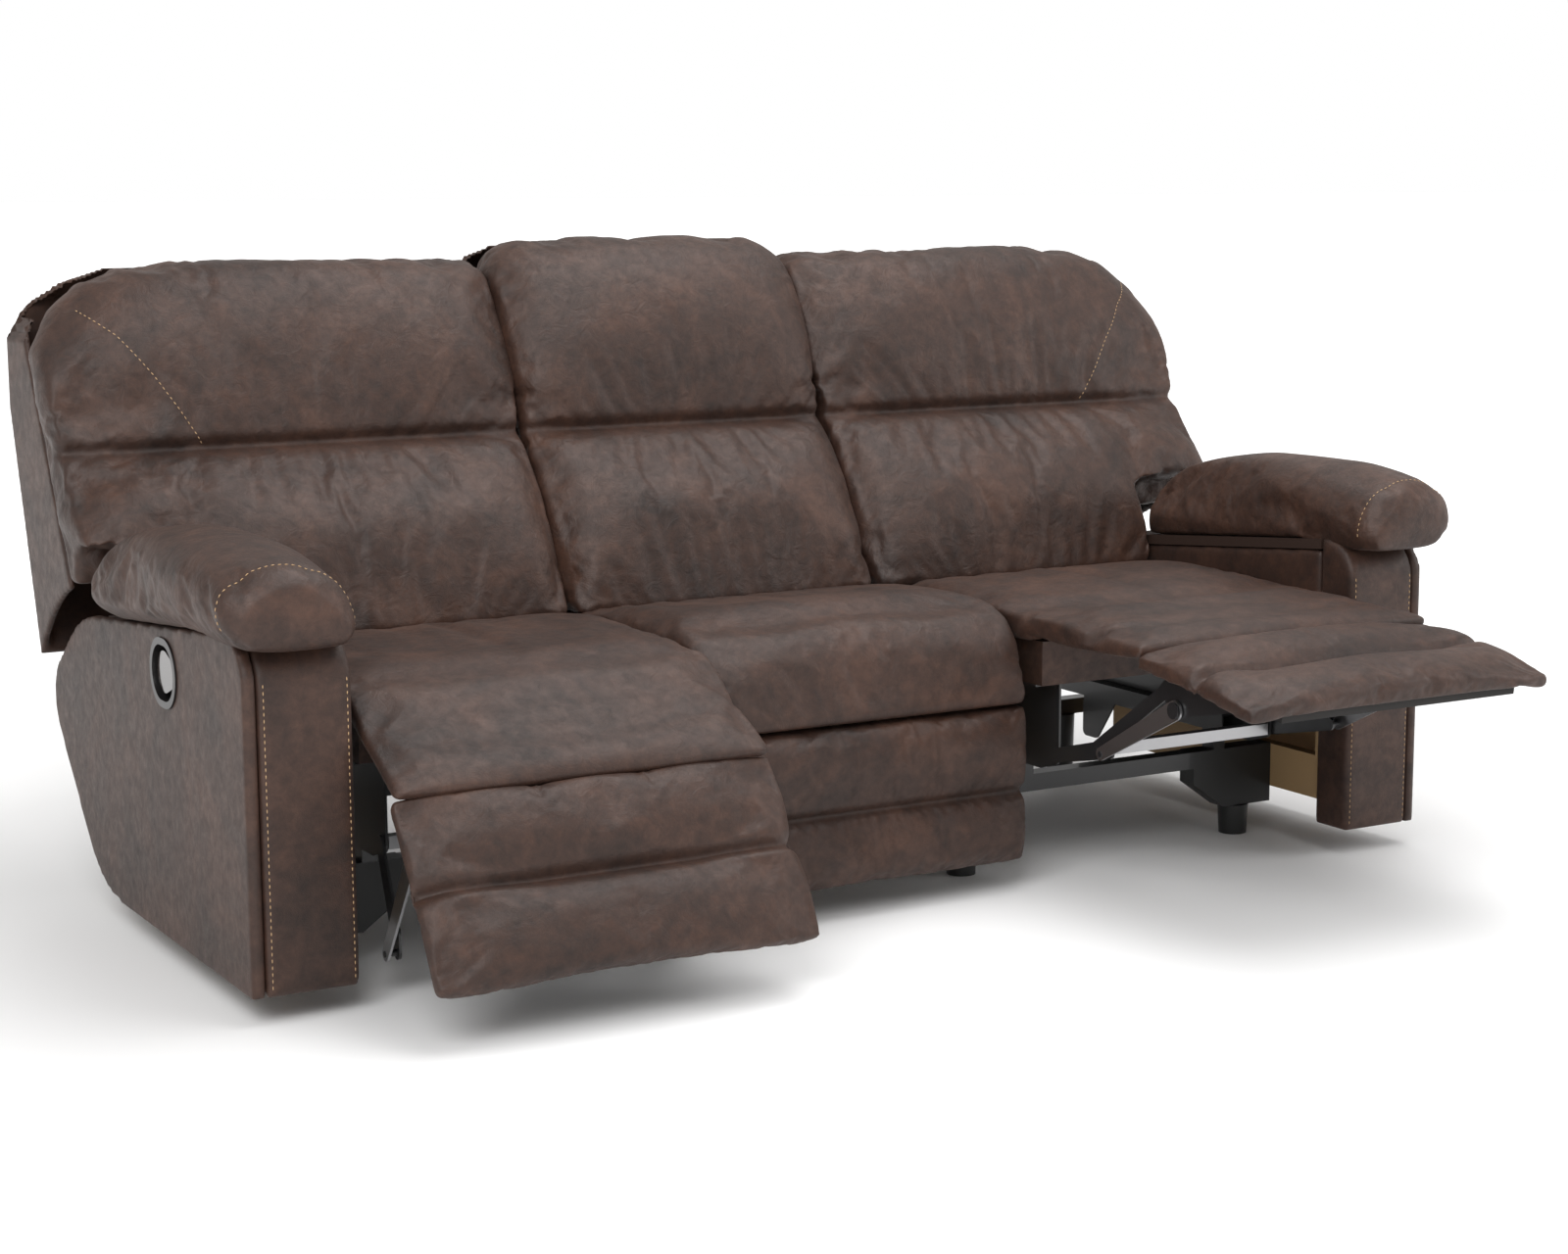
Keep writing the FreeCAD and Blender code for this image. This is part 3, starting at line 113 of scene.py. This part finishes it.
crease_relief = hide.nodes.new("ShaderNodeBump")
crease_relief.inputs["Distance"].default_value = 0.004
hide.links.new(way_in.outputs["Crease depth"], crease_relief.inputs["Strength"])
hide.links.new(creases.outputs["Fac"], crease_relief.inputs["Height"])
pore_relief = hide.nodes.new("ShaderNodeBump")
pore_relief.inputs["Distance"].default_value = 0.0006
pore_relief.inputs["Strength"].default_value = 0.35
hide.links.new(pores.outputs["Distance"], pore_relief.inputs["Height"])
hide.links.new(crease_relief.outputs["Normal"], pore_relief.inputs["Normal"])
hide.links.new(tone.outputs["Color"], way_out.inputs["Colour"])
hide.links.new(satin.outputs["Result"], way_out.inputs["Roughness"])
hide.links.new(pore_relief.outputs["Normal"], way_out.inputs["Normal"])


def leather(name, shift, crease):
    """One piece cut from the hide: shift moves its mottling, crease sets how deep its fine creases are."""
    material = bpy.data.materials.new(name)
    material.use_nodes = True
    links = material.node_tree.links
    shader = material.node_tree.nodes["Principled BSDF"]
    group = material.node_tree.nodes.new("ShaderNodeGroup")
    group.node_tree = hide
    group.inputs["Mottle size"].default_value = 6.5
    group.inputs["Grain size"].default_value = 620.0
    group.inputs["Crease depth"].default_value = crease
    group.inputs["Shift"].default_value = shift
    links.new(group.outputs["Colour"], shader.inputs["Base Color"])
    links.new(group.outputs["Roughness"], shader.inputs["Roughness"])
    links.new(group.outputs["Normal"], shader.inputs["Normal"])
    shader.inputs["Specular IOR Level"].default_value = 0.42
    shader.inputs["Sheen Weight"].default_value = 0.03
    shader.inputs["Sheen Roughness"].default_value = 0.5
    shader.inputs["Sheen Tint"].default_value = (0.75, 0.6, 0.52, 1)
    return material


def bake(piece):
    """Replaces the piece's mesh by what its modifiers make of it."""
    bpy.context.view_layer.update()
    seen = piece.evaluated_get(bpy.context.evaluated_depsgraph_get())
    mesh = bpy.data.meshes.new_from_object(seen)
    piece.modifiers.clear()
    piece.data = mesh


def skin(name, nodes, grid):
    """A cover over solid pieces: their surfaces joined into one mesh of even squares."""
    joined = bmesh.new()
    for node in nodes:
        joined.from_mesh(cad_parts[node].data)
    mesh = bpy.data.meshes.new(name)
    joined.to_mesh(mesh)
    joined.free()
    piece = bpy.data.objects.new(name, mesh)
    bpy.context.scene.collection.objects.link(piece)
    even = piece.modifiers.new("even", "REMESH")
    even.mode = "VOXEL"
    even.voxel_size = grid
    bake(piece)
    return piece


def relax(piece, rounds, factor=0.5):
    soft = piece.modifiers.new("soft", "SMOOTH")
    soft.iterations = rounds
    soft.factor = factor
    bake(piece)


def finish_cover(piece, material, nodes, levels):
    if levels:
        smooth = piece.modifiers.new("smooth", "SUBSURF")
        smooth.levels = smooth.render_levels = levels
        bake(piece)
    piece.data.materials.clear()
    piece.data.materials.append(material)
    for face in piece.data.polygons:
        face.use_smooth = True
    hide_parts(*nodes)


def plain(name, colour, rough, metal=0.0, coat=0.0):
    """A finish of one colour."""
    material = bpy.data.materials.new(name)
    material.use_nodes = True
    shader = material.node_tree.nodes["Principled BSDF"]
    shader.inputs["Base Color"].default_value = (*colour, 1)
    shader.inputs["Roughness"].default_value = rough
    shader.inputs["Metallic"].default_value = metal
    shader.inputs["Coat Weight"].default_value = coat
    return material


thread = plain("tan_thread", (0.46, 0.30, 0.16), 0.7)
thread_lift = 0.0004


def spans_of(points):
    return [(b - a).length for a, b in zip(points, points[1:])]


def along(points, spans, distance):
    """The place on a path at a distance from its start."""
    index = 0
    while index < len(spans) - 1 and distance > spans[index]:
        distance -= spans[index]
        index += 1
    share = min(1.0, distance / max(spans[index], 1e-9))
    return points[index].lerp(points[index + 1], share)


def between(points, count):
    """A path made evenly finer."""
    points = [Vector(p) for p in points]
    spans = spans_of(points)
    return [along(points, spans, sum(spans) * number / count) for number in range(count + 1)]


def surface_of(piece):
    mesh = piece.data
    return BVHTree.FromPolygons([v.co for v in mesh.vertices], [p.vertices for p in mesh.polygons])


def dropped_back(tree, points):
    """Points moved along +Y until they lie on a surface."""
    way = Vector((0, 1, 0))
    run_up = 0.6
    found = []
    for point in points:
        hit, normal, face, distance = tree.ray_cast(Vector(point) - way * run_up, way)
        if hit is not None:
            found.append(hit + normal * thread_lift)
    return found


def stitches(name, path, body):
    """Short threads laid one after another along a path on a cover."""
    long, gap, radius = 0.0062, 0.0036, 0.00085
    points = [Vector(p) for p in path]
    spans = spans_of(points)
    total = sum(spans)
    built = bmesh.new()
    start = 0.0
    while start < total - long:
        first, last = along(points, spans, start), along(points, spans, start + long)
        way = last - first
        if way.length > long * 0.5:
            turn = way.to_track_quat("Z", "Y").to_matrix().to_4x4()
            stretch = Matrix.Diagonal((1, 1, way.length / radius / 2, 1))
            where = Matrix.Translation((first + last) / 2) @ turn @ stretch
            bmesh.ops.create_icosphere(built, subdivisions=1, radius=radius, matrix=where)
        start += long + gap
    mesh = bpy.data.meshes.new(name)
    built.to_mesh(mesh)
    built.free()
    for face in mesh.polygons:
        face.use_smooth = True
    mesh.materials.append(thread)
    piece = bpy.data.objects.new(name, mesh)
    bpy.context.scene.collection.objects.link(piece)
    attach(piece, body)


panel_stitch_inset = 0.009
panel_stitch_foot = 0.012
panel_stitch_head = 0.06
for side, word in ((-1, "left"), (1, "right")):
    for panel, shift in (("arm_outer_panel", 0.0), ("arm_front_panel", 1.7), ("arm_inner_panel", 2.9)):
        node = word + "_" + panel
        piece = skin(node + "_cover", [node], grid=0.006)
        relax(piece, rounds=5, factor=0.6)
        cover = leather(node + "_hide", (shift * side, shift, 0.3), crease=0.16)
        finish_cover(piece, cover, [node], levels=0)
        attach(piece, base)
        if panel == "arm_front_panel":
            tree = surface_of(piece)
            low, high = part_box(node)
            for edge in (low.x + panel_stitch_inset, high.x - panel_stitch_inset):
                path = between([(edge, low.y, low.z + panel_stitch_foot),
                                (edge, low.y, high.z - panel_stitch_head)], 90)
                stitches(word + "_arm_stitch_%d" % int(edge * 1000), dropped_back(tree, path), base)

# Arm frames: plywood sides and ribs, a pine rail and a deck inside each arm, glued and stapled.
# The timber is bare pine low down; above deck_height it is painted flat dark brown, a painted shade for the
# dim inside of the arm.
deck_height = 0.33
pine = (0.46, 0.30, 0.15, 1)
# painted shade: the flat dark brown given to the arm frame above deck_height
shade_above_deck = (0.03, 0.015, 0.010, 1)


def dress(node, material):
    """Gives a solid piece its finish and leaves its shape as it is."""
    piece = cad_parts[node]
    piece.data.materials.clear()
    piece.data.materials.append(material)


for word in ("left", "right"):
    arm_ply = bpy.data.materials.new(word + "_arm_ply")
    arm_ply.use_nodes = True
    ply_nodes = arm_ply.node_tree.nodes
    ply_links = arm_ply.node_tree.links
    ply_shader = ply_nodes["Principled BSDF"]
    ply_shader.inputs["Roughness"].default_value = 0.6
    spot = ply_nodes.new("ShaderNodeTexCoord")
    split = ply_nodes.new("ShaderNodeSeparateXYZ")
    above = ply_nodes.new("ShaderNodeMath")
    above.operation = "GREATER_THAN"
    above.inputs[1].default_value = deck_height
    # pine below deck_height, painted shade colour above it
    pick = ply_nodes.new("ShaderNodeMix")
    pick.data_type = "RGBA"
    pick.inputs[6].default_value = pine
    pick.inputs[7].default_value = shade_above_deck
    ply_links.new(spot.outputs["Object"], split.inputs[0])
    ply_links.new(split.outputs["Z"], above.inputs[0])
    ply_links.new(above.outputs[0], pick.inputs["Factor"])
    ply_links.new(pick.outputs[2], ply_shader.inputs["Base Color"])
    dress(word + "_arm_frame", arm_ply)

# Arm pads: stuffed leather pillows that lie along the arms and hang over their outer sides, fixed along
# the underside. Cloth under pressure fills them out, and a stitched arc marks the cap at the front end.


def puff(piece, held, pressure, frames, shrink):
    """Cloth over foam: held(point) gives how firmly a point stays put, from 0 to 1."""
    stiff = 14.0
    pins = piece.vertex_groups.new(name="held")
    for vertex in piece.data.vertices:
        firm = held(vertex.co)
        if firm > 0:
            pins.add([vertex.index], firm, "REPLACE")
    cloth = piece.modifiers.new("cloth", "CLOTH")
    cloth.settings.quality = 5
    cloth.settings.mass = 0.25
    cloth.settings.tension_stiffness = stiff
    cloth.settings.compression_stiffness = stiff
    cloth.settings.shear_stiffness = stiff * 0.4
    cloth.settings.bending_stiffness = 0.25
    cloth.settings.use_pressure = True
    cloth.settings.uniform_pressure_force = pressure
    cloth.settings.shrink_min = shrink
    cloth.settings.vertex_group_mass = "held"
    cloth.settings.pin_stiffness = 1.5
    cloth.settings.effector_weights.gravity = 0
    cloth.collision_settings.use_collision = False
    cloth.point_cache.frame_start = 1
    cloth.point_cache.frame_end = frames
    for number in range(1, frames + 1):
        bpy.context.scene.frame_set(number)
    bake(piece)
    bpy.context.scene.frame_set(1)


cap_depth = 0.030
cap_height = 0.62
cap_start, cap_sweep, cap_places = -25, 230, 120
pad_fixed = 0.25
for side, word in ((-1, "left"), (1, "right")):
    node = word + "_arm_pad"
    piece = skin(node + "_cover", [node], grid=0.008)
    relax(piece, rounds=6)
    low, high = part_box(node)

    def held(point):
        return 1.0 if point.z < low.z + pad_fixed * (high.z - low.z) else 0.0

    puff(piece, held, pressure=2.0, frames=9, shrink=-0.03)
    cover = leather(node + "_hide", (side * 0.4, 5.1, 0.2), crease=0.5)
    finish_cover(piece, cover, [node], levels=1)
    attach(piece, base)
    tree = surface_of(piece)
    centre = Vector(((low.x + high.x) / 2, low.y + cap_depth, low.z + cap_height * (high.z - low.z)))
    arc = []
    for number in range(cap_places + 1):
        angle = math.radians(cap_start + cap_sweep * number / cap_places)
        hit, normal, face, distance = tree.ray_cast(centre, Vector((math.cos(angle), 0, math.sin(angle))))
        if hit is not None:
            arc.append(hit + normal * thread_lift)
    stitches(word + "_pad_cap_stitch", arc, base)

# Release handles: an oval cup of satin black plastic let into each outer panel,
# with a glossy paddle in it that pulls out about a pin at its front end.
for word in ("left", "right"):
    dress(word + "_handle_cup", plain(word + "_cup_black", (0.012, 0.011, 0.011), 0.32))
    dress(word + "_handle_paddle", plain(word + "_paddle_gloss", (0.02, 0.013, 0.011), 0.12, coat=0.6))

# Middle seat: a foam cushion under leather, fixed along its underside and at the back, and below it
# two stuffed rolls sewn together along a level seam and fixed to the seat box.


def tuck(piece, off_seam, inward, in_front, deep, wide):
    """Draws a cover in along a seam; off_seam(point) is how far a point lies from it."""
    inward = Vector(inward).normalized()
    for vertex in piece.data.vertices:
        off = abs(off_seam(vertex.co))
        if off < wide * 2.2 and in_front(vertex.co):
            vertex.co += inward * deep * math.exp(-(off / wide) ** 2 * 3)


piece = skin("middle_seat_cover", ["middle_seat_cushion"], grid=0.008)
relax(piece, rounds=5)
low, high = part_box("middle_seat_cushion")
fixed_below = 0.018
fixed_behind = 0.03
puff(piece, lambda p: 1.0 if p.z < low.z + fixed_below or p.y > high.y - fixed_behind else 0.0,
     pressure=1.6, frames=8, shrink=-0.02)
cover = leather("middle_seat_hide", (0.1, 8.0, 0.0), crease=0.4)
finish_cover(piece, cover, ["middle_seat_cushion"], levels=1)
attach(piece, base)

lower_roll = 0.1225
piece = skin("middle_rolls_cover", ["middle_front_rolls"], grid=0.006)
relax(piece, rounds=4)
low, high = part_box("middle_front_rolls")
roll_seam = low.z + lower_roll
sewn_band = 0.007
nailed_rear = 0.02
free_front = 0.03
puff(piece, lambda p: 1.0 if p.y > high.y - nailed_rear or abs(p.z - roll_seam) < sewn_band else 0.0,
     pressure=2.2, frames=9, shrink=-0.02)
tuck(piece, lambda p: p.z - roll_seam, (0, 1, 0), lambda p: p.y < high.y - free_front,
     deep=0.011, wide=0.016)
cover = leather("middle_rolls_hide", (0.6, 9.0, 0.0), crease=0.4)
finish_cover(piece, cover, ["middle_front_rolls"], levels=1)
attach(piece, base)

# Backs: a lower and a head roll of stuffed leather that meet at a cross seam pulled in to the frame.
# The outer two have a wing over the arm, set off by a slanting line of tan stitches.
cross_seam = 0.752
back_thick = 0.14
back_lean = 0.5476
hem_height = 0.09
hem_drop = 0.020
wing_start = 0.905
glued = 0.012
seam_band = 0.008
seam_rear = 0.02
tucked_rear = 0.06
arm_front = -0.3054
back_middle_y = 0.5
wing_line = ((0.879, 0.758), (0.905, 0.80), (0.95, 0.87), (1.0, 0.935), (1.05, 0.975))
for word, body in (("left", "left_back"), ("middle", base), ("right", "right_back")):
    node = word + "_back_cushion"
    piece = skin(word + "_back_cover", [node], grid=0.0085)
    relax(piece, rounds=5)
    low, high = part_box(node)

    def rear_at(point):
        return low.y + back_thick + back_lean * (point.z - low.z)

    def held(point):
        rear = rear_at(point)
        at_seam = abs(point.z - cross_seam) < seam_band and point.y < rear - seam_rear
        return 1.0 if point.y > rear - glued or point.z < low.z + glued or at_seam else 0.0

    puff(piece, held, pressure=2.4, frames=10, shrink=-0.03)
    for vertex in piece.data.vertices:
        share = max(0.0, 1 - (vertex.co.z - low.z) / hem_height)
        if share > 0 and abs(vertex.co.x) < wing_start:
            vertex.co.z -= hem_drop * share
    tuck(piece, lambda p: p.z - cross_seam, (0, 1, -0.1), lambda p: p.y < rear_at(p) - tucked_rear,
         deep=0.016, wide=0.020)
    cover = leather(word + "_back_hide", (len(word) * 0.37, 12.0, 0.0), crease=0.5)
    finish_cover(piece, cover, [node], levels=1)
    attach(piece, body)
    if word != "middle":
        side = -1 if word == "left" else 1
        line = between([(side * x, 0, z) for x, z in wing_line], 90)
        path = dropped_back(surface_of(piece), [(p.x, arm_front + back_middle_y, p.z) for p in line])
        stitches(word + "_back_stitch", path, body)

# Recliner seats: one leather cover runs over the foam cushion, the soft gusset and the front strip
# that is sewn to the footrest.
underside_glued = 0.01
rear_stapled = 0.03
for side, word in ((-1, "left"), (1, "right")):
    parts = [word + "_seat_cushion", word + "_flap_gusset", word + "_seat_flap"]
    piece = skin(word + "_seat_cover", parts, grid=0.008)
    relax(piece, rounds=6)
    low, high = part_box(word + "_seat_cushion")

    def held(point):
        underside = point.z < low.z + underside_glued and point.y > low.y
        return 1.0 if underside or point.y > high.y - rear_stapled else 0.0

    puff(piece, held, pressure=1.2, frames=8, shrink=-0.015)
    cover = leather(word + "_seat_hide", (side * 1.3, 15.0, 0.0), crease=0.4)
    finish_cover(piece, cover, parts, levels=1)
    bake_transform(piece)

# Footrests: two stuffed leather rolls with a sewn valley between them, stapled to a board
# that is covered in black cloth. The left one hangs partly raised and the right one lies level.
full_turn = 81.5
stapled = 0.008
pad_front = 0.012
for side, word, raised in ((-1, "left", 0.406), (1, "right", 1.0)):
    node = word + "_footrest_pad"
    piece = skin(word + "_footrest_cover", [node], grid=0.006)
    relax(piece, rounds=4)
    board = surface_of(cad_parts[word + "_footrest_board"])

    def held(point):
        hit, normal, face, distance = board.find_nearest(point)
        return 1.0 if distance < stapled else 0.0

    puff(piece, held, pressure=1.8, frames=8, shrink=-0.02)
    lean = math.radians(full_turn * raised)
    down = Vector((0, -math.sin(lean), -math.cos(lean)))
    inward = Vector((0, math.cos(lean), -math.sin(lean)))
    board_low, board_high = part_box(word + "_footrest_board")
    heart = Vector((0, (board_low.y + board_high.y) / 2, (board_low.z + board_high.z) / 2))

    def from_heart(point):
        return Vector((0, point.y, point.z)) - heart

    tuck(piece, lambda p: from_heart(p).dot(down), inward, lambda p: from_heart(p).dot(inward) < -pad_front,
         deep=0.017, wide=0.017)
    cover = leather(word + "_footrest_hide", (side * 2.1, 18.0, 0.0), crease=0.4)
    finish_cover(piece, cover, [node], levels=1)
    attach(piece, word + "_footrest")
    dress(word + "_footrest_board", plain(word + "_board_cloth", (0.02, 0.018, 0.017), 0.85))

# Outside backs: taut panels of the same hide over board. Above the waist each is drawn in
# towards its heart until it lies behind its cushion, so that none of it shows from the front.
waist = 0.62
heart_height = 0.80
rim = 0.006
draw_step, draw_steps = 0.015, 12
for word, body in (("left", "left_back"), ("middle", base), ("right", "right_back")):
    node = word + "_back_shell"
    piece = skin(word + "_shell_cover", [node], grid=0.007)
    relax(piece, rounds=3)
    outline = surface_of(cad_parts[word + "_back_cushion"])
    low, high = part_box(node)
    heart = Vector(((low.x + high.x) / 2, 0, heart_height))
    for vertex in piece.data.vertices:
        if vertex.co.z < waist:
            continue
        for step in range(draw_steps):
            shrink = 1 - draw_step * step
            spot = Vector((heart.x + (vertex.co.x - heart.x) * shrink, -2,
                           heart.z + (vertex.co.z + rim - heart.z) * shrink))
            if outline.ray_cast(spot, Vector((0, 1, 0)))[0] is not None:
                vertex.co.x = spot.x
                vertex.co.z = spot.z - rim
                break
    cover = leather(word + "_shell_hide", (len(word) * 0.21, 21.0, 0.0), crease=0.12)
    finish_cover(piece, cover, [node], levels=0)
    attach(piece, body)

# Frames: plywood boxes under the seats, with webs of black elastic stretched over them, and posts and
# rails in the backs. The hide is wrapped round the back frames and the two outer seat boxes.
wood = plain("frame_ply", (0.45, 0.30, 0.165), 0.6)
elastic = plain("web_elastic", (0.03, 0.03, 0.03), 0.9)
for word in ("left", "middle", "right"):
    dress(word + "_back_frame", leather(word + "_frame_hide", (4, len(word), 2), crease=0.1))
    dress(word + "_seat_webbing", elastic)
    box_skin = wood if word == "middle" else leather(word + "_box_hide", (3, 3, 3), crease=0.1)
    dress(word + "_seat_frame", box_skin)

# Mechanism: plates, links and brackets of steel under black enamel, and control links and square
# drive tubes with a zinc plating, joined by pins.
steel = plain("black_enamel", (0.014, 0.014, 0.015), 0.33, coat=0.2)
zinc = plain("zinc_plate", (0.42, 0.42, 0.43), 0.34, metal=1.0)
for word in ("left", "right"):
    for part in ("back_brackets", "side_plates", "rear_links", "front_links", "footrest_brackets"):
        dress(word + "_" + part, steel)
    for part in ("front_controls", "drive_tube"):
        dress(word + "_" + part, zinc)

# Base: two steel cross rails with the slide tracks on them, enamelled black like the mechanism,
# and black plastic feet and corner blocks screwed on below.
black = plain("black_foot", (0.012, 0.012, 0.012), 0.42)
for node in ("front_cross_rail", "rear_cross_rail", "slide_tracks"):
    dress(node, steel)
for node in ("front_corner_blocks", "feet"):
    dress(node, black)

# Floor: a plain pale plane that keeps the sofa's soft shadow close by and fades to white farther off.
floor_wide = 400
shadow_reach = 1.6
white_from = 4.5
glow = 0.7
bpy.ops.mesh.primitive_plane_add(size=floor_wide, location=(0, 0, 0))
floor = bpy.context.object
floor.name = "studio_floor"
pale = plain("floor_white", (0.93, 0.93, 0.93), 0.7)
pale_shader = pale.node_tree.nodes["Principled BSDF"]
spread = pale.node_tree.nodes.new("ShaderNodeTexCoord")
away = pale.node_tree.nodes.new("ShaderNodeVectorMath")
away.operation = "LENGTH"
fade = pale.node_tree.nodes.new("ShaderNodeMapRange")
fade.inputs["From Min"].default_value = shadow_reach
fade.inputs["From Max"].default_value = white_from
fade.inputs["To Max"].default_value = glow
pale.node_tree.links.new(spread.outputs["Object"], away.inputs[0])
pale.node_tree.links.new(away.outputs["Value"], fade.inputs["Value"])
pale_shader.inputs["Emission Color"].default_value = (1, 1, 1, 1)
pale.node_tree.links.new(fade.outputs["Result"], pale_shader.inputs["Emission Strength"])
floor.data.materials.append(pale)

# Light: a broad lamp from the upper left, one overhead and a weak one from the right,
# in a soft white world that the camera sees as pure white.


def lamp(name, where, target, width, height, power):
    data = bpy.data.lights.new(name, "AREA")
    data.shape = "RECTANGLE"
    data.size = width
    data.size_y = height
    data.energy = power
    thing = bpy.data.objects.new(name, data)
    bpy.context.scene.collection.objects.link(thing)
    thing.location = where
    thing.rotation_euler = (Vector(target) - Vector(where)).to_track_quat("-Z", "Y").to_euler()


lamp("broad_light", (-3.4, -3.4, 3.8), (0, 0.2, 0.5), width=3.4, height=2.6, power=175)
lamp("top_light", (0.8, -0.4, 4.2), (0, 0.1, 0.5), width=4.0, height=2.4, power=110)
lamp("side_light", (4.2, -2.2, 2.2), (0.4, 0, 0.5), width=2.0, height=2.0, power=45)
world = bpy.data.worlds.new("studio")
bpy.context.scene.world = world
world.use_nodes = True
sky_nodes = world.node_tree.nodes
sky_links = world.node_tree.links
shade = sky_nodes["Background"]
shade.inputs["Color"].default_value = (1.0, 0.99, 0.98, 1)
shade.inputs["Strength"].default_value = 0.62
clean = sky_nodes.new("ShaderNodeBackground")
clean.inputs["Color"].default_value = (1, 1, 1, 1)
clean.inputs["Strength"].default_value = 1.0
rays = sky_nodes.new("ShaderNodeLightPath")
either = sky_nodes.new("ShaderNodeMath")
either.operation = "MAXIMUM"
sky_links.new(rays.outputs["Is Camera Ray"], either.inputs[0])
sky_links.new(rays.outputs["Is Transmission Ray"], either.inputs[1])
choice = sky_nodes.new("ShaderNodeMixShader")
sky_links.new(either.outputs[0], choice.inputs[0])
sky_links.new(shade.outputs[0], choice.inputs[1])
sky_links.new(clean.outputs[0], choice.inputs[2])
sky_links.new(choice.outputs[0], sky_nodes["World Output"].inputs["Surface"])

# Camera: at the photograph's place and angle, to the left of the sofa and a little above its backs.
eye = bpy.data.cameras.new("photo_camera")
eye.lens = 63.48
eye.sensor_width = 36
camera = bpy.data.objects.new("photo_camera", eye)
bpy.context.scene.collection.objects.link(camera)
yaw = math.radians(29.988)
pitch = math.radians(9.108)
roll = -0.00424
stand = (-2.3064, -3.6168 + arm_front, 1.1720)
ahead = Vector((math.sin(yaw) * math.cos(pitch), math.cos(yaw) * math.cos(pitch), -math.sin(pitch)))
level = Vector((math.cos(yaw), -math.sin(yaw), 0))
up = level.cross(ahead)
level_rolled = level * math.cos(roll) + up * math.sin(roll)
up_rolled = up * math.cos(roll) - level * math.sin(roll)
turn = Matrix((level_rolled, up_rolled, -ahead)).transposed()
camera.matrix_world = Matrix.Translation(stand) @ turn.to_4x4()
bpy.context.scene.camera = camera
bpy.context.scene.view_settings.view_transform = "Standard"
